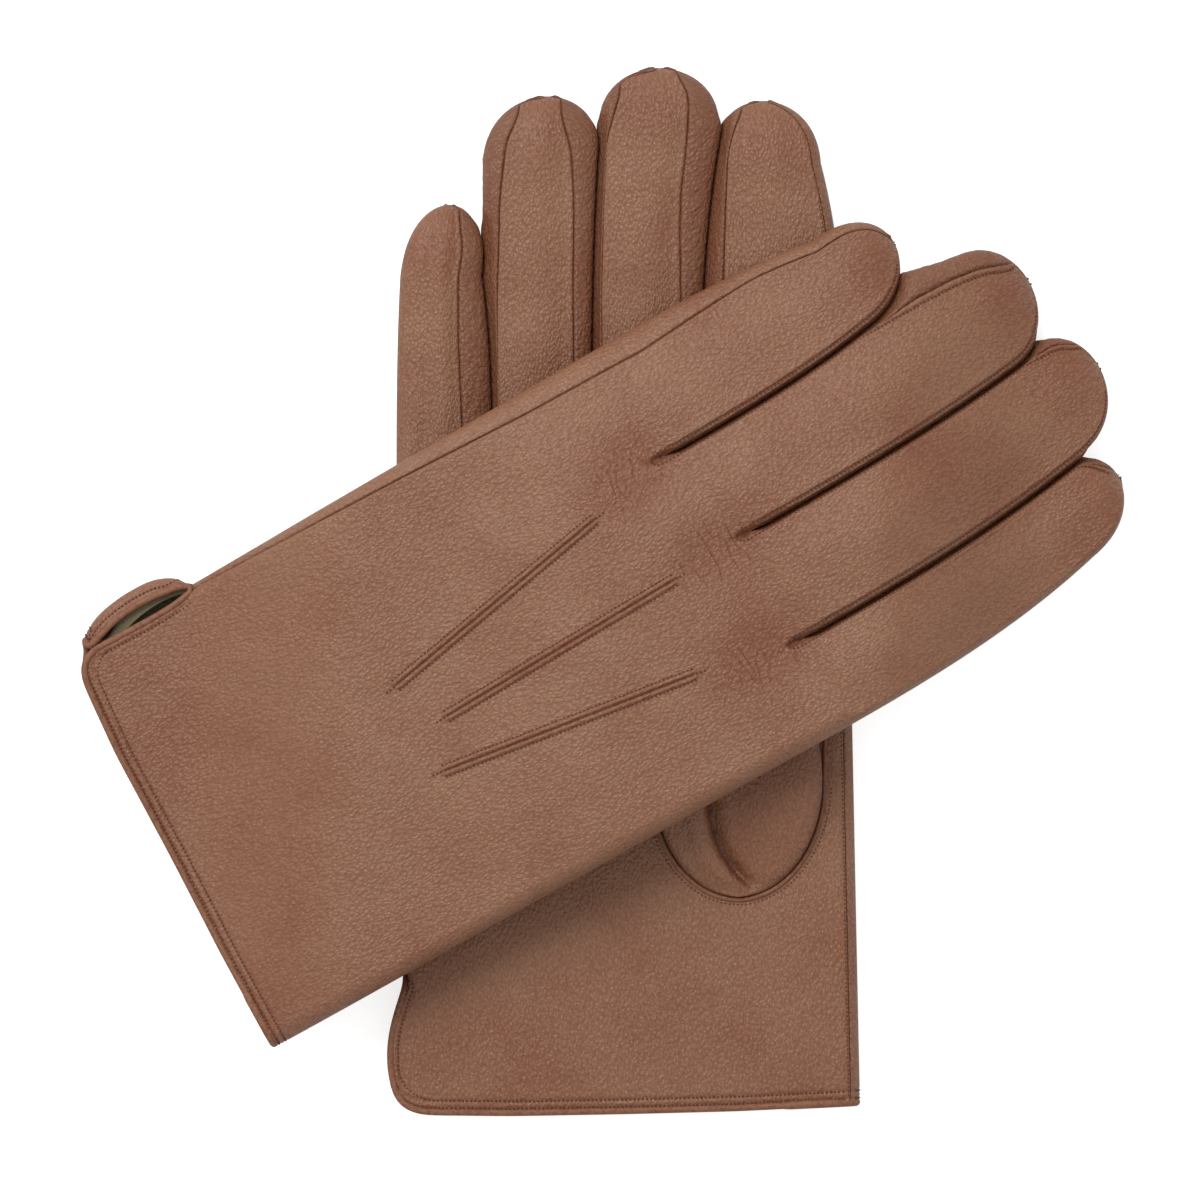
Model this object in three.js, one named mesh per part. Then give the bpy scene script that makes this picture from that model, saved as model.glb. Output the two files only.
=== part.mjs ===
// A pair of men's leather dress gloves, laid crossed: the right one palm up, the left one back up over it.
// Millimetres. +Z is up, +Y runs from the right glove's cuff to its fingertips, the origin is under the pair.
import * as THREE from 'three';

// Sizes of one glove, the same for both hands
const HAND_HALF_WIDTH = 53.5;
const CUFF_TO_ROOTS = 155;
const FINGER_LENGTHS = [67, 90.5, 95, 86];
const FINGER_CAPS = [17, 15, 15, 15];
const HAND_RADIUS = 4.7;
const FINGER_RADIUS = 4.6;
const CUFF_RADIUS = 4.5;
const CUFF_TAPER = 35;
const HAND_CROWN = 1.0;
const FINGER_CROWN = 0.7;
const REST_HOLLOW = 1;
const CROWN_START = 26;
const CROWN_RISE = 28;

// Leather, lining and the clearances between sewn pieces
const LEATHER = 0.8;
const LINING = 0.4;
const SEAM_GAP = 0.3;
const LINING_CLEARANCE = 0.6;
const POINT_CLEARANCE = 0.6;
const WELT_CLEARANCE = 0.5;
const THUMB_CLEARANCE = 0.5;
const FINGER_GAP = 0.6;
const SWELL_BEFORE = 6;
const SWELL_AFTER = 14;
const CREASE_GAP = 0.3;
const VALLEY_LENGTH = 18;
const LINING_INSET = LEATHER + LINING_CLEARANCE;

// The vent at the little-finger side of the cuff
const VENT_LENGTH = 35;
const LEFT_VENT_BULGE = 4.3;
const RIGHT_VENT_BULGE = 1.7;
const LEFT_HEM_RISES = [3, 0.6, -0.1, -1.1, -1.4];
const RIGHT_HEM_RISES = [0, -0.3, 0.2, 0.9, 2.2];
const CORNER_RADIUS = 9;
const BINDING_RADIUS = 0.85;
const HEM_INSET = 2 * BINDING_RADIUS + SEAM_GAP;

// Seams, measured in from the glove's outline
const OUTER_SEAM_INSET = 4.6;
const VENT_SEAM_INSET = 1.2;
const TIP_SEAM_INSET = 3.2;
const INDEX_SEAM_INSET = 2.2;
const FOURCHETTE_INSET = 5;
const FOURCHETTE_SPREAD = 16;

// The thumb, which lies folded on the palm
const THUMB_START = 52.5;
const THUMB_SHOULDER = 80;
const THUMB_CREASE = 112;
const THUMB_CAP_START = 140;
const THUMB_END = 159;
const THUMB_CENTRE = 27;
const THUMB_LEAN = 3;
const THUMB_ROOT_HALF_WIDTH = 20;
const THUMB_CREASE_HALF_WIDTH = 15.8;
const THUMB_HALF_WIDTH = 13.6;
const THUMB_RADIUS = 2.5;
const THUMB_HOLE_HALF_WIDTH = 15;
const THUMB_HOLE_HALF_LENGTH = 19;
const WELT_RADIUS = 0.6;
const WELT_END = 97;

// The three sewn points on the back
const POINT_HALF_WIDTH = 1.4;
const POINT_HEIGHT = 0.9;
const PRESSED_POINT_HEIGHT = 0.4;
const POINT_STARTS = [[-7.8, 66.3], [4.3, 73.1], [15, 66.1]];
const POINT_ENDS = [[-18.8, 128.6], [3, 138], [24.9, 131]];

// How the pair is laid
const LEFT_TURN = THREE.MathUtils.degToRad(60.2);
const LEFT_CUFF = [-103.6, -62.4];
const RIGHT_CUFF = [4.9, -124.7];
const STACK_GAP = 0.3;
const RIGHT_GLOVE_TOP = 2 * HAND_RADIUS + HAND_CROWN + STACK_GAP;
const THUMB_LAYER = 2 * THUMB_RADIUS + THUMB_CLEARANCE;
const GLOVE_REST = { left: -54, right: 63, fall: 54 };
const THUMB_REST = { left: -58, right: 62, low: -88, high: 38, fall: 44 };
const CROSSING_REST = { left: 2, right: 60, low: -52, high: 10, fall: 46 };
const LEFT_CREASES = [160, 169, 169, 166];
const RIGHT_CREASES = [172, 186, 202, 218];

const FINGERS = ['little', 'ring', 'middle', 'index'];
const LEATHER_COLOUR = 0x8e6650;
const EDGE_COLOUR = 0x7d5340;
const LINING_COLOUR = 0x8c8266;

// Where the gap lines, finger edges and tips lie across the hand, as shares of its half width
const leftLay = {
  side: 'left',
  palmUp: false,
  rootShares: [-1, -0.44, 0.037, 0.561, 1],
  rootAlongShares: [0.96, 0.958, 1.013, 1, 1],
  cuffShares: [-0.985, -0.5, 0, 0.5, 0.975],
  shoulderLeftShares: [-0.94, -0.57, -0.06, 0.48],
  shoulderRightShares: [-0.495, -0.012, 0.48, 0.895],
  swellShares: [0, 0.06, 0, 0],
  tipShares: [-0.755, -0.31, 0.17, 0.635],
  reachShares: [1, 1, 1, 1],
  creases: LEFT_CREASES,
  ventBulge: LEFT_VENT_BULGE,
  hemRises: LEFT_HEM_RISES,
};
const rightLay = {
  side: 'right',
  palmUp: true,
  rootShares: [-1.012, -0.59, -0.15, 0.335, 0.99],
  rootAlongShares: [0.96, 0.958, 1.013, 1, 1],
  cuffShares: [-0.99, -0.52, -0.03, 0.49, 1.05],
  shoulderLeftShares: [-0.995, -0.635, -0.12, 0.405],
  shoulderRightShares: [-0.635, -0.12, 0.43, 0.875],
  swellShares: [0, 0, 0, 0],
  tipShares: [-0.775, -0.34, 0.155, 0.615],
  reachShares: [0.925, 0.97, 0.995, 1.008],
  creases: RIGHT_CREASES,
  ventBulge: RIGHT_VENT_BULGE,
  hemRises: RIGHT_HEM_RISES,
};

const lerp = THREE.MathUtils.lerp;
const smoothstep = (low, high, value) => THREE.MathUtils.smoothstep(value, low, high);
const CAP_POWER = 2.4;
const EDGE_POWER = 3;
const CROWN_POWER = 4;

// Lanes run round a flattened tube: 0 is the middle of the back and 3 the middle of the palm.
// The right side is the half circle from 1 to 2, and the left one from 4 to 5; 6 is 0 again.
const LANES_ROUND = 6;
const PALM_LANE = 3;
const SIDE_LANE_SHARE = 1.5;
const SEAM_BACK_LANE_SHARE = 1.42;
const SEAM_PALM_LANE_SHARE = 1.6;
const VENT_BACK_LANE_SHARE = 1.2;
const VENT_PALM_LANE_SHARE = 1.68;
const LEAST_LANE_SHARE = 0.15;
const CROTCH_BACK_STEP_SHARE = 1.6;
const CROTCH_PALM_STEP_SHARE = 2.5;
const TUBE_LANE_SHARES = [-1.5, -1, 0, 1, 1.5, 2, 3, 4];
const LINING_SIDE_LANE_SHARES = [1.33, 1.67];
const PIVOT_LANE_SHARES = [-1, -0.5, 0, 0.5, 1];

// Columns and rows of the sheets, the rows as shares of the way along
const PANEL_COLUMNS = 3;
const SIDE_COLUMNS = 3;
const FOURCHETTE_COLUMNS = 3;
const LINING_COLUMNS = 8;
const CROTCH_ROWS = 5;
const BEAD_SIDES = 6;
const PALM_SEAM_SHARE = 0.45;
const CAP_SHARES = [0.5, 0.8, 0.95];
const LINING_CAP_SHARES = [0.5, 0.8];
const HAND_SHARES = [0, 0.09, 0.18, 0.215, 0.35, 0.49, 0.63, 0.76, 0.89, 1];
const LINING_START_SHARE = 0.012;
const LINING_END_SHARE = 0.83;
const LINING_VENT_SHARE = 0.8;
const THUMB_BASE_ROW_SHARES = [[0.09, 0.55], [0.3, 0.85], [0.55, 1], [0.75, 1], [1, 1]];
const THUMB_TIP_ROW_SHARES = [[0, 1], [0.3, 1], [0.6, 1], [0.85, 0.9], [0.98, 0.55]];
const WELT_STEPS = 22;
const WELT_STRAIGHT_SHARE = 0.9;
const POINT_STEPS = 8;
const POINT_END_SHARE = 0.4;
const POINT_OUTLINE_SHARES = [[-1, 0], [-0.8, 0.7], [0, 1], [0.8, 0.7], [1, 0]];
const BINDING_STEPS = 72;
const HEM_STEPS = 7;
const BINDING_TOP_SHARE = 0.4;
const BINDING_SIDE_SHARE = 0.6;
const CORNER_BULGE_SHARE = 0.7;
const VENT_EDGE_SHARES = [
  [0.5, 0.9, BINDING_TOP_SHARE], [0.85, 0.75, BINDING_SIDE_SHARE], [1, 0.55, BINDING_SIDE_SHARE],
];
const CORNER_DEGREES = [90, 60, 30, 0];
const FOLD_DEGREES = [45, 90, 135];

// Builds one closed solid from quads whose corners have an outer and an inner point each.
function sheetSolid(quads, outer, inner) {
  const index = new Map();
  const points = [];
  const vertex = (key, layer) => {
    const name = key + layer;
    if (!index.has(name)) {
      index.set(name, points.length);
      points.push(layer === 'o' ? outer.get(key) : inner.get(key));
    }
    return index.get(name);
  };
  const triangles = [];
  const edges = new Map();
  for (const quad of quads) {
    const top = quad.map((key) => vertex(key, 'o'));
    const under = quad.map((key) => vertex(key, 'i'));
    triangles.push([top[0], top[1], top[2]], [top[0], top[2], top[3]]);
    triangles.push([under[2], under[1], under[0]], [under[3], under[2], under[0]]);
    quad.forEach((key, i) => {
      const next = quad[(i + 1) % quad.length];
      const back = next + '>' + key;
      if (edges.has(back)) {
        edges.delete(back);
      } else {
        edges.set(key + '>' + next, [key, next]);
      }
    });
  }
  for (const [from, to] of edges.values()) {
    const a = vertex(from, 'o');
    const b = vertex(to, 'o');
    const c = vertex(to, 'i');
    const d = vertex(from, 'i');
    triangles.push([b, a, d], [b, d, c]);
  }
  return closedGeometry(points, triangles);
}

// Turns points and triangles into a geometry whose faces point out.
function closedGeometry(points, triangles) {
  let volume = 0;
  for (const [a, b, c] of triangles) {
    volume += points[a].dot(new THREE.Vector3().crossVectors(points[b], points[c]));
  }
  const order = volume < 0 ? [0, 2, 1] : [0, 1, 2];
  const geometry = new THREE.BufferGeometry();
  geometry.setAttribute('position', new THREE.Float32BufferAttribute(points.flatMap((p) => p.toArray()), 3));
  geometry.setIndex(triangles.flatMap((t) => order.map((i) => t[i])));
  geometry.computeVertexNormals();
  return geometry;
}

// A grid of points, columns by rows, made into a sheet of leather; wrap joins its last column to its first.
function gridSolid(columns, rows, place, wrap = false, keep = () => true) {
  const outer = new Map();
  const inner = new Map();
  const name = (i, j) => (wrap ? i % columns : i) + ',' + j;
  for (let i = 0; i <= columns - (wrap ? 1 : 0); i += 1) {
    for (let j = 0; j <= rows; j += 1) {
      outer.set(name(i, j), place(i, j, 0));
      inner.set(name(i, j), place(i, j, 1));
    }
  }
  const quads = [];
  for (let i = 0; i < columns; i += 1) {
    for (let j = 0; j < rows; j += 1) {
      if (keep(i, j)) {
        quads.push([name(i, j), name(i + 1, j), name(i + 1, j + 1), name(i, j + 1)]);
      }
    }
  }
  return sheetSolid(quads, outer, inner);
}

// The lanes of a panel's columns from one seam to the other, closer together where it turns round a side.
function panelLanes(start, end, back, wraps) {
  const low = back ? -1 : PALM_LANE - 1;
  const first = Math.max(start + LEAST_LANE_SHARE, low);
  const last = Math.min(end - LEAST_LANE_SHARE, low + 2);
  const lanes = [start];
  for (let i = 0; i <= PANEL_COLUMNS; i += 1) {
    lanes.push(lerp(first, last, i / PANEL_COLUMNS));
  }
  for (let i = 1; i < (wraps ? SIDE_COLUMNS : 1); i += 1) {
    lanes.push(lerp(last, end, i / SIDE_COLUMNS));
  }
  return lanes.concat([end]);
}

// A round bead along a smooth line through the points.
function beadSolid(path, radius, steps) {
  const round = new THREE.Shape();
  round.absarc(0, 0, radius, 0, Math.PI * 2);
  const curve = new THREE.CatmullRomCurve3(path);
  const bead = { steps, extrudePath: curve, curveSegments: BEAD_SIDES / 2, bevelEnabled: false };
  return new THREE.ExtrudeGeometry(round, bead);
}

// A low ridge over a straight line of points: its outline is given across the line and away from the leather.
function ridgeSolid(path, outline) {
  const points = [];
  const triangles = [];
  const sides = outline(0).length;
  const ahead = path[path.length - 1].clone().sub(path[0]);
  const across = new THREE.Vector3(ahead.y, -ahead.x, 0).normalize();
  path.forEach((centre, i) => {
    for (const [wide, high] of outline(i)) {
      points.push(centre.clone().addScaledVector(across, wide).add(new THREE.Vector3(0, 0, high)));
    }
  });
  const last = (path.length - 1) * sides;
  for (let k = 0; k < sides; k += 1) {
    const next = (k + 1) % sides;
    for (let base = 0; base < last; base += sides) {
      triangles.push([base + k, base + next, base + sides + next]);
      triangles.push([base + k, base + sides + next, base + sides + k]);
    }
    if (k > 0 && k < sides - 1) {
      triangles.push([0, k + 1, k]);
      triangles.push([last, last + k, last + k + 1]);
    }
  }
  return closedGeometry(points, triangles);
}

// The leather's line at the cuff: straight inside the bound edge, with a round corner beside the vent.
function cuffLine(lay, x) {
  const into = Math.max(0, -x - (HAND_HALF_WIDTH - CORNER_RADIUS)) / CORNER_RADIUS;
  const corner = CORNER_RADIUS * (1 - Math.sqrt(Math.max(0, 1 - Math.min(into, 1) ** 2)));
  return HEM_INSET + hemRise(lay, x) + corner;
}

// The slant of the cuff's edge, from rises given at even steps from the vent's side to the index side.
function hemRise(lay, x) {
  const last = lay.hemRises.length - 1;
  const at = THREE.MathUtils.clamp((x / HAND_HALF_WIDTH + 1) / 2, 0, 1) * last;
  const step = Math.min(Math.floor(at), last - 1);
  return lerp(lay.hemRises[step], lay.hemRises[step + 1], at - step);
}

// One glove's outline: where each finger starts, bends and ends.
function gloveShape(lay) {
  const across = (shares) => shares.map((share) => share * HAND_HALF_WIDTH);
  const shape = {
    lay,
    roots: across(lay.rootShares),
    rootAlong: lay.rootAlongShares.map((share) => share * CUFF_TO_ROOTS),
    cuffs: across(lay.cuffShares),
    shoulderLeft: across(lay.shoulderLeftShares),
    shoulderRight: across(lay.shoulderRightShares),
    tips: across(lay.tipShares),
    swells: across(lay.swellShares),
  };
  shape.ends = FINGER_LENGTHS.map((length, k) => CUFF_TO_ROOTS + length * lay.reachShares[k]);
  shape.shoulders = shape.ends.map((end, k) => end - FINGER_CAPS[k]);
  return shape;
}

function capScale(share) {
  return Math.sqrt(Math.max(0, 1 - share ** CAP_POWER));
}

// The right-hand edge of finger k at a distance along the glove.
function rightEdge(shape, k, along) {
  const shoulder = shape.shoulders[k];
  const gap = k < 3 ? FINGER_GAP / 2 : 0;
  if (along <= shoulder) {
    const share = Math.max(0, (along - shape.rootAlong[k + 1]) / (shoulder - shape.rootAlong[k + 1]));
    return lerp(shape.roots[k + 1], shape.shoulderRight[k], share ** EDGE_POWER) - gap;
  }
  const share = Math.min(1, (along - shoulder) / FINGER_CAPS[k]);
  const left = shape.shoulderLeft[k];
  const right = shape.shoulderRight[k];
  const centre = lerp((left + right) / 2, shape.tips[k], share);
  return centre + ((right - left) / 2) * capScale(share) - gap;
}

// The left-hand edge that finger k has where no finger lies beside it.
function freeLeftEdge(shape, k, along) {
  const left = shape.shoulderLeft[k];
  const start = k === 0 ? shape.roots[k] : left;
  if (along <= shape.shoulders[k]) {
    const share = Math.max(0, (along - shape.rootAlong[k]) / (shape.shoulders[k] - shape.rootAlong[k]));
    return lerp(start, left, share ** EDGE_POWER);
  }
  const right = shape.shoulderRight[k];
  const share = Math.min(1, (along - shape.shoulders[k]) / FINGER_CAPS[k]);
  return lerp((left + right) / 2, shape.tips[k], share) - ((right - left) / 2) * capScale(share);
}

// The left-hand edge of finger k: it lies against the finger before it, and swells out round its tip.
function leftEdge(shape, k, along) {
  if (k === 0) {
    return freeLeftEdge(shape, k, along);
  }
  const beside = rightEdge(shape, k - 1, along) + FINGER_GAP;
  if (along <= Math.min(shape.shoulders[k - 1], shape.shoulders[k])) {
    return beside;
  }
  const tip = shape.ends[k - 1];
  const swell = shape.swells[k] * (1 - smoothstep(tip - SWELL_BEFORE, tip + SWELL_AFTER, along));
  const free = freeLeftEdge(shape, k, along) + FINGER_GAP / 2 - swell;
  return along < tip ? Math.max(free, beside) : free;
}

function crownWave(along) {
  const rise = smoothstep(CROWN_START, CROWN_START + CROWN_RISE, along);
  return rise * (1 - smoothstep(CUFF_TO_ROOTS - CROWN_RISE / 2, CUFF_TO_ROOTS, along));
}

function handRadius(along) {
  return lerp(CUFF_RADIUS, HAND_RADIUS, smoothstep(0, CUFF_TAPER, along));
}

// The height that the hand's crown, or the hollow under a resting back, adds at a place.
function handCrown(lay, x, along, facesUp) {
  const swell = (1 - Math.min(1, (x / HAND_HALF_WIDTH) ** 2)) * crownWave(along);
  if (facesUp) {
    return HAND_CROWN * swell;
  }
  return lay.palmUp ? REST_HOLLOW * swell : 0;
}

// A lane's signed distance from the middle of the back: negative on the left-hand half.
function signedLane(lane) {
  return lane > PALM_LANE ? lane - LANES_ROUND : lane;
}

// The same lane on the other side of the tube.
function mirrored(lane) {
  return LANES_ROUND - lane;
}

// The point of a flattened tube's row in a lane, laid that far in from its outside.
function section(lay, row, lane, inset) {
  const halfWidth = (row.right - row.left) / 2 - inset;
  const radius = row.radius - inset;
  const signed = signedLane(lane);
  const turn = Math.abs(signed);
  const side = Math.sign(signed);
  const flat = halfWidth - radius;
  let x = signed * flat;
  let height = 1;
  let swell = 1 - signed * signed;
  if (turn > PALM_LANE - 1) {
    x = side * (PALM_LANE - turn) * flat;
    height = -1;
    swell = 1 - (PALM_LANE - turn) ** 2;
  } else if (turn > 1) {
    const angle = (turn - 1) * Math.PI;
    x = side * (flat + radius * Math.sin(angle));
    height = Math.cos(angle);
    swell = 0;
  }
  const rises = lay.palmUp ? -height : height;
  const crown = rises > 0 ? row.crown * swell : 0;
  const share = (x + halfWidth) / (2 * halfWidth);
  const along = lerp(row.alongLeft, row.alongRight, share);
  return new THREE.Vector3((row.left + row.right) / 2 + x, along, row.middle + radius * rises + crown);
}

function laneAtTop(row, inset) {
  const halfWidth = (row.right - row.left) / 2;
  if (inset >= row.radius) {
    return (halfWidth - inset) / (halfWidth - row.radius);
  }
  return 1 + Math.asin((row.radius - inset) / row.radius) / Math.PI;
}

function laneAtPalm(row, inset) {
  return PALM_LANE - laneAtTop(row, inset);
}

// A row across finger k between its root line and its tip.
function fingerRow(shape, k, station, inset) {
  const shoulder = shape.shoulders[k];
  if (station.cap === undefined) {
    const alongLeft = lerp(shape.rootAlong[k], station.along, station.share);
    const alongRight = lerp(shape.rootAlong[k + 1], station.along, station.share);
    return {
      left: leftEdge(shape, k, alongLeft), right: rightEdge(shape, k, alongRight), alongLeft, alongRight,
      radius: FINGER_RADIUS, middle: FINGER_RADIUS, crown: FINGER_CROWN * station.share,
    };
  }
  const outline = shoulder + FINGER_CAPS[k] * station.cap;
  const along = shoulder + (FINGER_CAPS[k] - inset) * station.cap;
  const radius = FINGER_RADIUS * Math.sqrt(1 - station.cap ** EDGE_POWER);
  const sides = { left: leftEdge(shape, k, outline), right: rightEdge(shape, k, outline) };
  const crown = FINGER_CROWN * (1 - station.cap ** 2);
  const middle = (FINGER_RADIUS + radius) / 2;
  return { ...sides, alongLeft: along, alongRight: along, radius, middle, crown };
}

// The seams of finger k in lanes round its tube, at one row.
function fingerSeams(shape, k, row) {
  const along = (row.alongLeft + row.alongRight) / 2;
  const root = Math.max(shape.rootAlong[k], shape.rootAlong[k + 1]);
  const spread = THREE.MathUtils.clamp((along - root) / FOURCHETTE_SPREAD, 0, 1);
  const most = PALM_SEAM_SHARE * (row.right - row.left) / 2;
  const palm = lerp(SEAM_PALM_LANE_SHARE, laneAtPalm(row, Math.min(FOURCHETTE_INSET, most)), spread);
  const toTip = smoothstep(CUFF_TO_ROOTS, shape.shoulders[k], along);
  const outer = laneAtTop(row, Math.min(lerp(OUTER_SEAM_INSET, TIP_SEAM_INSET, toTip), most));
  const index = laneAtPalm(row, Math.min(INDEX_SEAM_INSET, most));
  return {
    backLeft: k === 0 ? -outer : -SEAM_BACK_LANE_SHARE,
    backRight: k === 3 ? index : SEAM_BACK_LANE_SHARE,
    palmRight: k === 3 ? index : palm,
    palmLeft: mirrored(k === 0 ? outer : palm),
  };
}

// A small step in lanes that leaves a seam's clearance on a tube of this size.
function laneStep(row, lane) {
  const turn = Math.abs(signedLane(lane));
  const halfWidth = (row.right - row.left) / 2;
  const length = turn > 1 && turn < PALM_LANE - 1 ? Math.PI * (row.radius - LEATHER) : halfWidth - row.radius;
  return SEAM_GAP / Math.max(length, SEAM_GAP * 2);
}

function fingerStations(shape, k, from, caps) {
  const shoulder = shape.shoulders[k];
  const middle = (from + shoulder) / 2;
  const straight = [from, middle, shoulder].map((along) => ({ along, share: 1 }));
  return straight.concat(caps.map((cap) => ({ cap })));
}

function wrapsSide(k, back) {
  return back ? k === 3 : k === 0;
}

// The lanes of the back's or the palm's columns on finger k, half a clearance inside its seams.
function fingerLanes(shape, k, row, back) {
  const seams = fingerSeams(shape, k, row);
  const start = back ? seams.backLeft : seams.palmRight;
  const end = back ? seams.backRight : seams.palmLeft;
  return panelLanes(start + laneStep(row, start) / 2, end - laneStep(row, end) / 2, back, wrapsSide(k, back));
}

function panelColumns(k, back) {
  return PANEL_COLUMNS + 1 + (wrapsSide(k, back) ? SIDE_COLUMNS : 1);
}

function fingerPanel(shape, k, back) {
  const stations = fingerStations(shape, k, shape.lay.creases[k] + CREASE_GAP / 2, CAP_SHARES);
  return gridSolid(panelColumns(k, back), stations.length - 1, (i, j, layer) => {
    const row = fingerRow(shape, k, stations[j], layer * LEATHER);
    return section(shape.lay, row, fingerLanes(shape, k, row, back)[i], layer * LEATHER);
  });
}

// The strip between back and palm: round the tip of the two middle fingers, on one side of the others.
function fingerFourchette(shape, k) {
  const stations = fingerStations(shape, k, shape.lay.creases[k] + CREASE_GAP / 2, CAP_SHARES);
  const count = stations.length;
  const both = k === 1 || k === 2;
  const rows = both ? 2 * count - 1 : count - 1;
  return gridSolid(FOURCHETTE_COLUMNS, rows, (i, j, layer) => {
    const onRight = k === 0 || (both && j < count);
    const station = stations[j < count ? j : 2 * count - 1 - j];
    const row = fingerRow(shape, k, station, layer * LEATHER);
    const seams = fingerSeams(shape, k, row);
    const back = SEAM_BACK_LANE_SHARE + laneStep(row, SEAM_BACK_LANE_SHARE) / 2;
    const palmLane = k === 3 ? mirrored(seams.palmLeft) : seams.palmRight;
    const palm = palmLane - laneStep(row, palmLane) / 2;
    const lane = lerp(back, palm, i / FOURCHETTE_COLUMNS);
    return section(shape.lay, row, onRight ? lane : mirrored(lane), layer * LEATHER);
  });
}

function fingerLining(shape, k) {
  const stations = fingerStations(shape, k, shape.lay.creases[k] + CREASE_GAP, LINING_CAP_SHARES);
  return gridSolid(TUBE_LANE_SHARES.length, stations.length - 1, (i, j, layer) => {
    const inset = LINING_INSET + layer * LINING;
    const row = fingerRow(shape, k, stations[j], inset);
    return section(shape.lay, row, TUBE_LANE_SHARES[i], inset);
  }, true);
}

// The strip of the hand that leads to finger k, at a share of the way from the cuff to the finger roots.
function handRow(shape, k, share) {
  const left = lerp(shape.cuffs[k], shape.roots[k], share);
  const right = lerp(shape.cuffs[k + 1], shape.roots[k + 1], share);
  const alongLeft = lerp(cuffLine(shape.lay, left), shape.rootAlong[k], share);
  const alongRight = lerp(cuffLine(shape.lay, right), shape.rootAlong[k + 1], share);
  const radius = handRadius((alongLeft + alongRight) / 2);
  const crown = FINGER_CROWN * share ** CROWN_POWER;
  return { left, right, alongLeft, alongRight, radius, middle: radius, crown };
}

function valley(shape, k, along) {
  if (k === 0 || k === 4) {
    return 1;
  }
  return smoothstep(shape.rootAlong[k] - VALLEY_LENGTH, shape.rootAlong[k], along);
}

// A point of the back or the palm on hand strip k, at its column i.
function handPoint(shape, k, rowShare, i, back, inset) {
  const lay = shape.lay;
  const row = handRow(shape, k, rowShare);
  const along = (row.alongLeft + row.alongRight) / 2;
  const open = k === 0 && along < VENT_LENGTH;
  const swing = Math.sin(Math.PI * THREE.MathUtils.clamp(along / VENT_LENGTH, 0, 1));
  row.left -= open && !back ? lay.ventBulge * swing : 0;
  const outer = lerp(VENT_SEAM_INSET, OUTER_SEAM_INSET, smoothstep(VENT_LENGTH, CUFF_TO_ROOTS, along));
  const half = laneStep(row, SIDE_LANE_SHARE) / 2;
  const outerLane = laneAtTop(row, outer);
  const indexLane = laneAtPalm(row, INDEX_SEAM_INSET);
  let start = back ? -SEAM_BACK_LANE_SHARE : SEAM_PALM_LANE_SHARE;
  let end = back ? SEAM_BACK_LANE_SHARE : mirrored(SEAM_PALM_LANE_SHARE);
  if (k === 0 && back) {
    start = open ? -VENT_BACK_LANE_SHARE : half - outerLane;
  }
  if (k === 0 && !back) {
    end = mirrored(open ? VENT_PALM_LANE_SHARE : outerLane + half);
  }
  if (k === 3 && back) {
    end = indexLane - half;
  }
  if (k === 3 && !back) {
    start = indexLane + half;
  }
  const onTube = section(lay, row, panelLanes(start, end, back, wrapsSide(k, back))[i], inset);
  const facesUp = back !== lay.palmUp;
  const rises = facesUp ? 1 : -1;
  const onHand = onTube.clone().setZ(row.middle + rises * (row.radius - inset));
  const onLeft = onTube.x < (row.left + row.right) / 2;
  const weight = onLeft ? valley(shape, k, row.alongLeft) : valley(shape, k + 1, row.alongRight);
  const point = onHand.lerp(onTube, weight);
  point.z += handCrown(lay, onTube.x, onTube.y, facesUp);
  return point;
}

// The back or the palm: one piece from the cuff, split between the fingers and cut at each finger's crease.
function handPanel(shape, back) {
  const outer = new Map();
  const inner = new Map();
  const quads = [];
  const hand = HAND_SHARES.length - 1;
  const rows = hand + 2;
  const strips = back ? [0, 1, 2, 3] : [3, 2, 1, 0];
  const place = (k, i, j, layer) => {
    if (j <= hand) {
      return handPoint(shape, k, HAND_SHARES[j], i, back, layer * LEATHER);
    }
    const station = { along: shape.lay.creases[k] - CREASE_GAP / 2, share: (j - hand) / 2 };
    const row = fingerRow(shape, k, station, layer * LEATHER);
    return section(shape.lay, row, fingerLanes(shape, k, row, back)[i], layer * LEATHER);
  };
  strips.forEach((k, order) => {
    const columns = panelColumns(k, back);
    const name = (i, j) => {
      const shared = i === columns && order < strips.length - 1 && j <= hand;
      return shared ? (order + 1) + ',0,' + j : order + ',' + i + ',' + j;
    };
    for (let j = 0; j <= rows; j += 1) {
      for (let i = 0; i <= columns; i += 1) {
        const key = name(i, j);
        for (const [store, layer] of [[outer, 0], [inner, 1]]) {
          const point = place(k, i, j, layer);
          if (store.has(key)) {
            store.get(key).lerp(point, 0.5);
          } else {
            store.set(key, point);
          }
        }
      }
    }
    for (let j = 0; j < rows; j += 1) {
      for (let i = 0; i < columns; i += 1) {
        quads.push([name(i, j), name(i + 1, j), name(i + 1, j + 1), name(i, j + 1)]);
      }
    }
  });
  const onThumb = (quad) => inThumbHole(middleOf(quad.map((key) => outer.get(key))));
  return sheetSolid(back ? quads : quads.filter((quad) => !onThumb(quad)), outer, inner);
}

function middleOf(points) {
  return points.reduce((sum, p) => sum.add(p), new THREE.Vector3()).divideScalar(points.length);
}

function inThumbHole(point) {
  const across = (point.x - THUMB_CENTRE) / THUMB_HOLE_HALF_WIDTH;
  const along = (point.y - THUMB_SHOULDER) / THUMB_HOLE_HALF_LENGTH;
  return across ** 2 + along ** 2 < 1;
}

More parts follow.
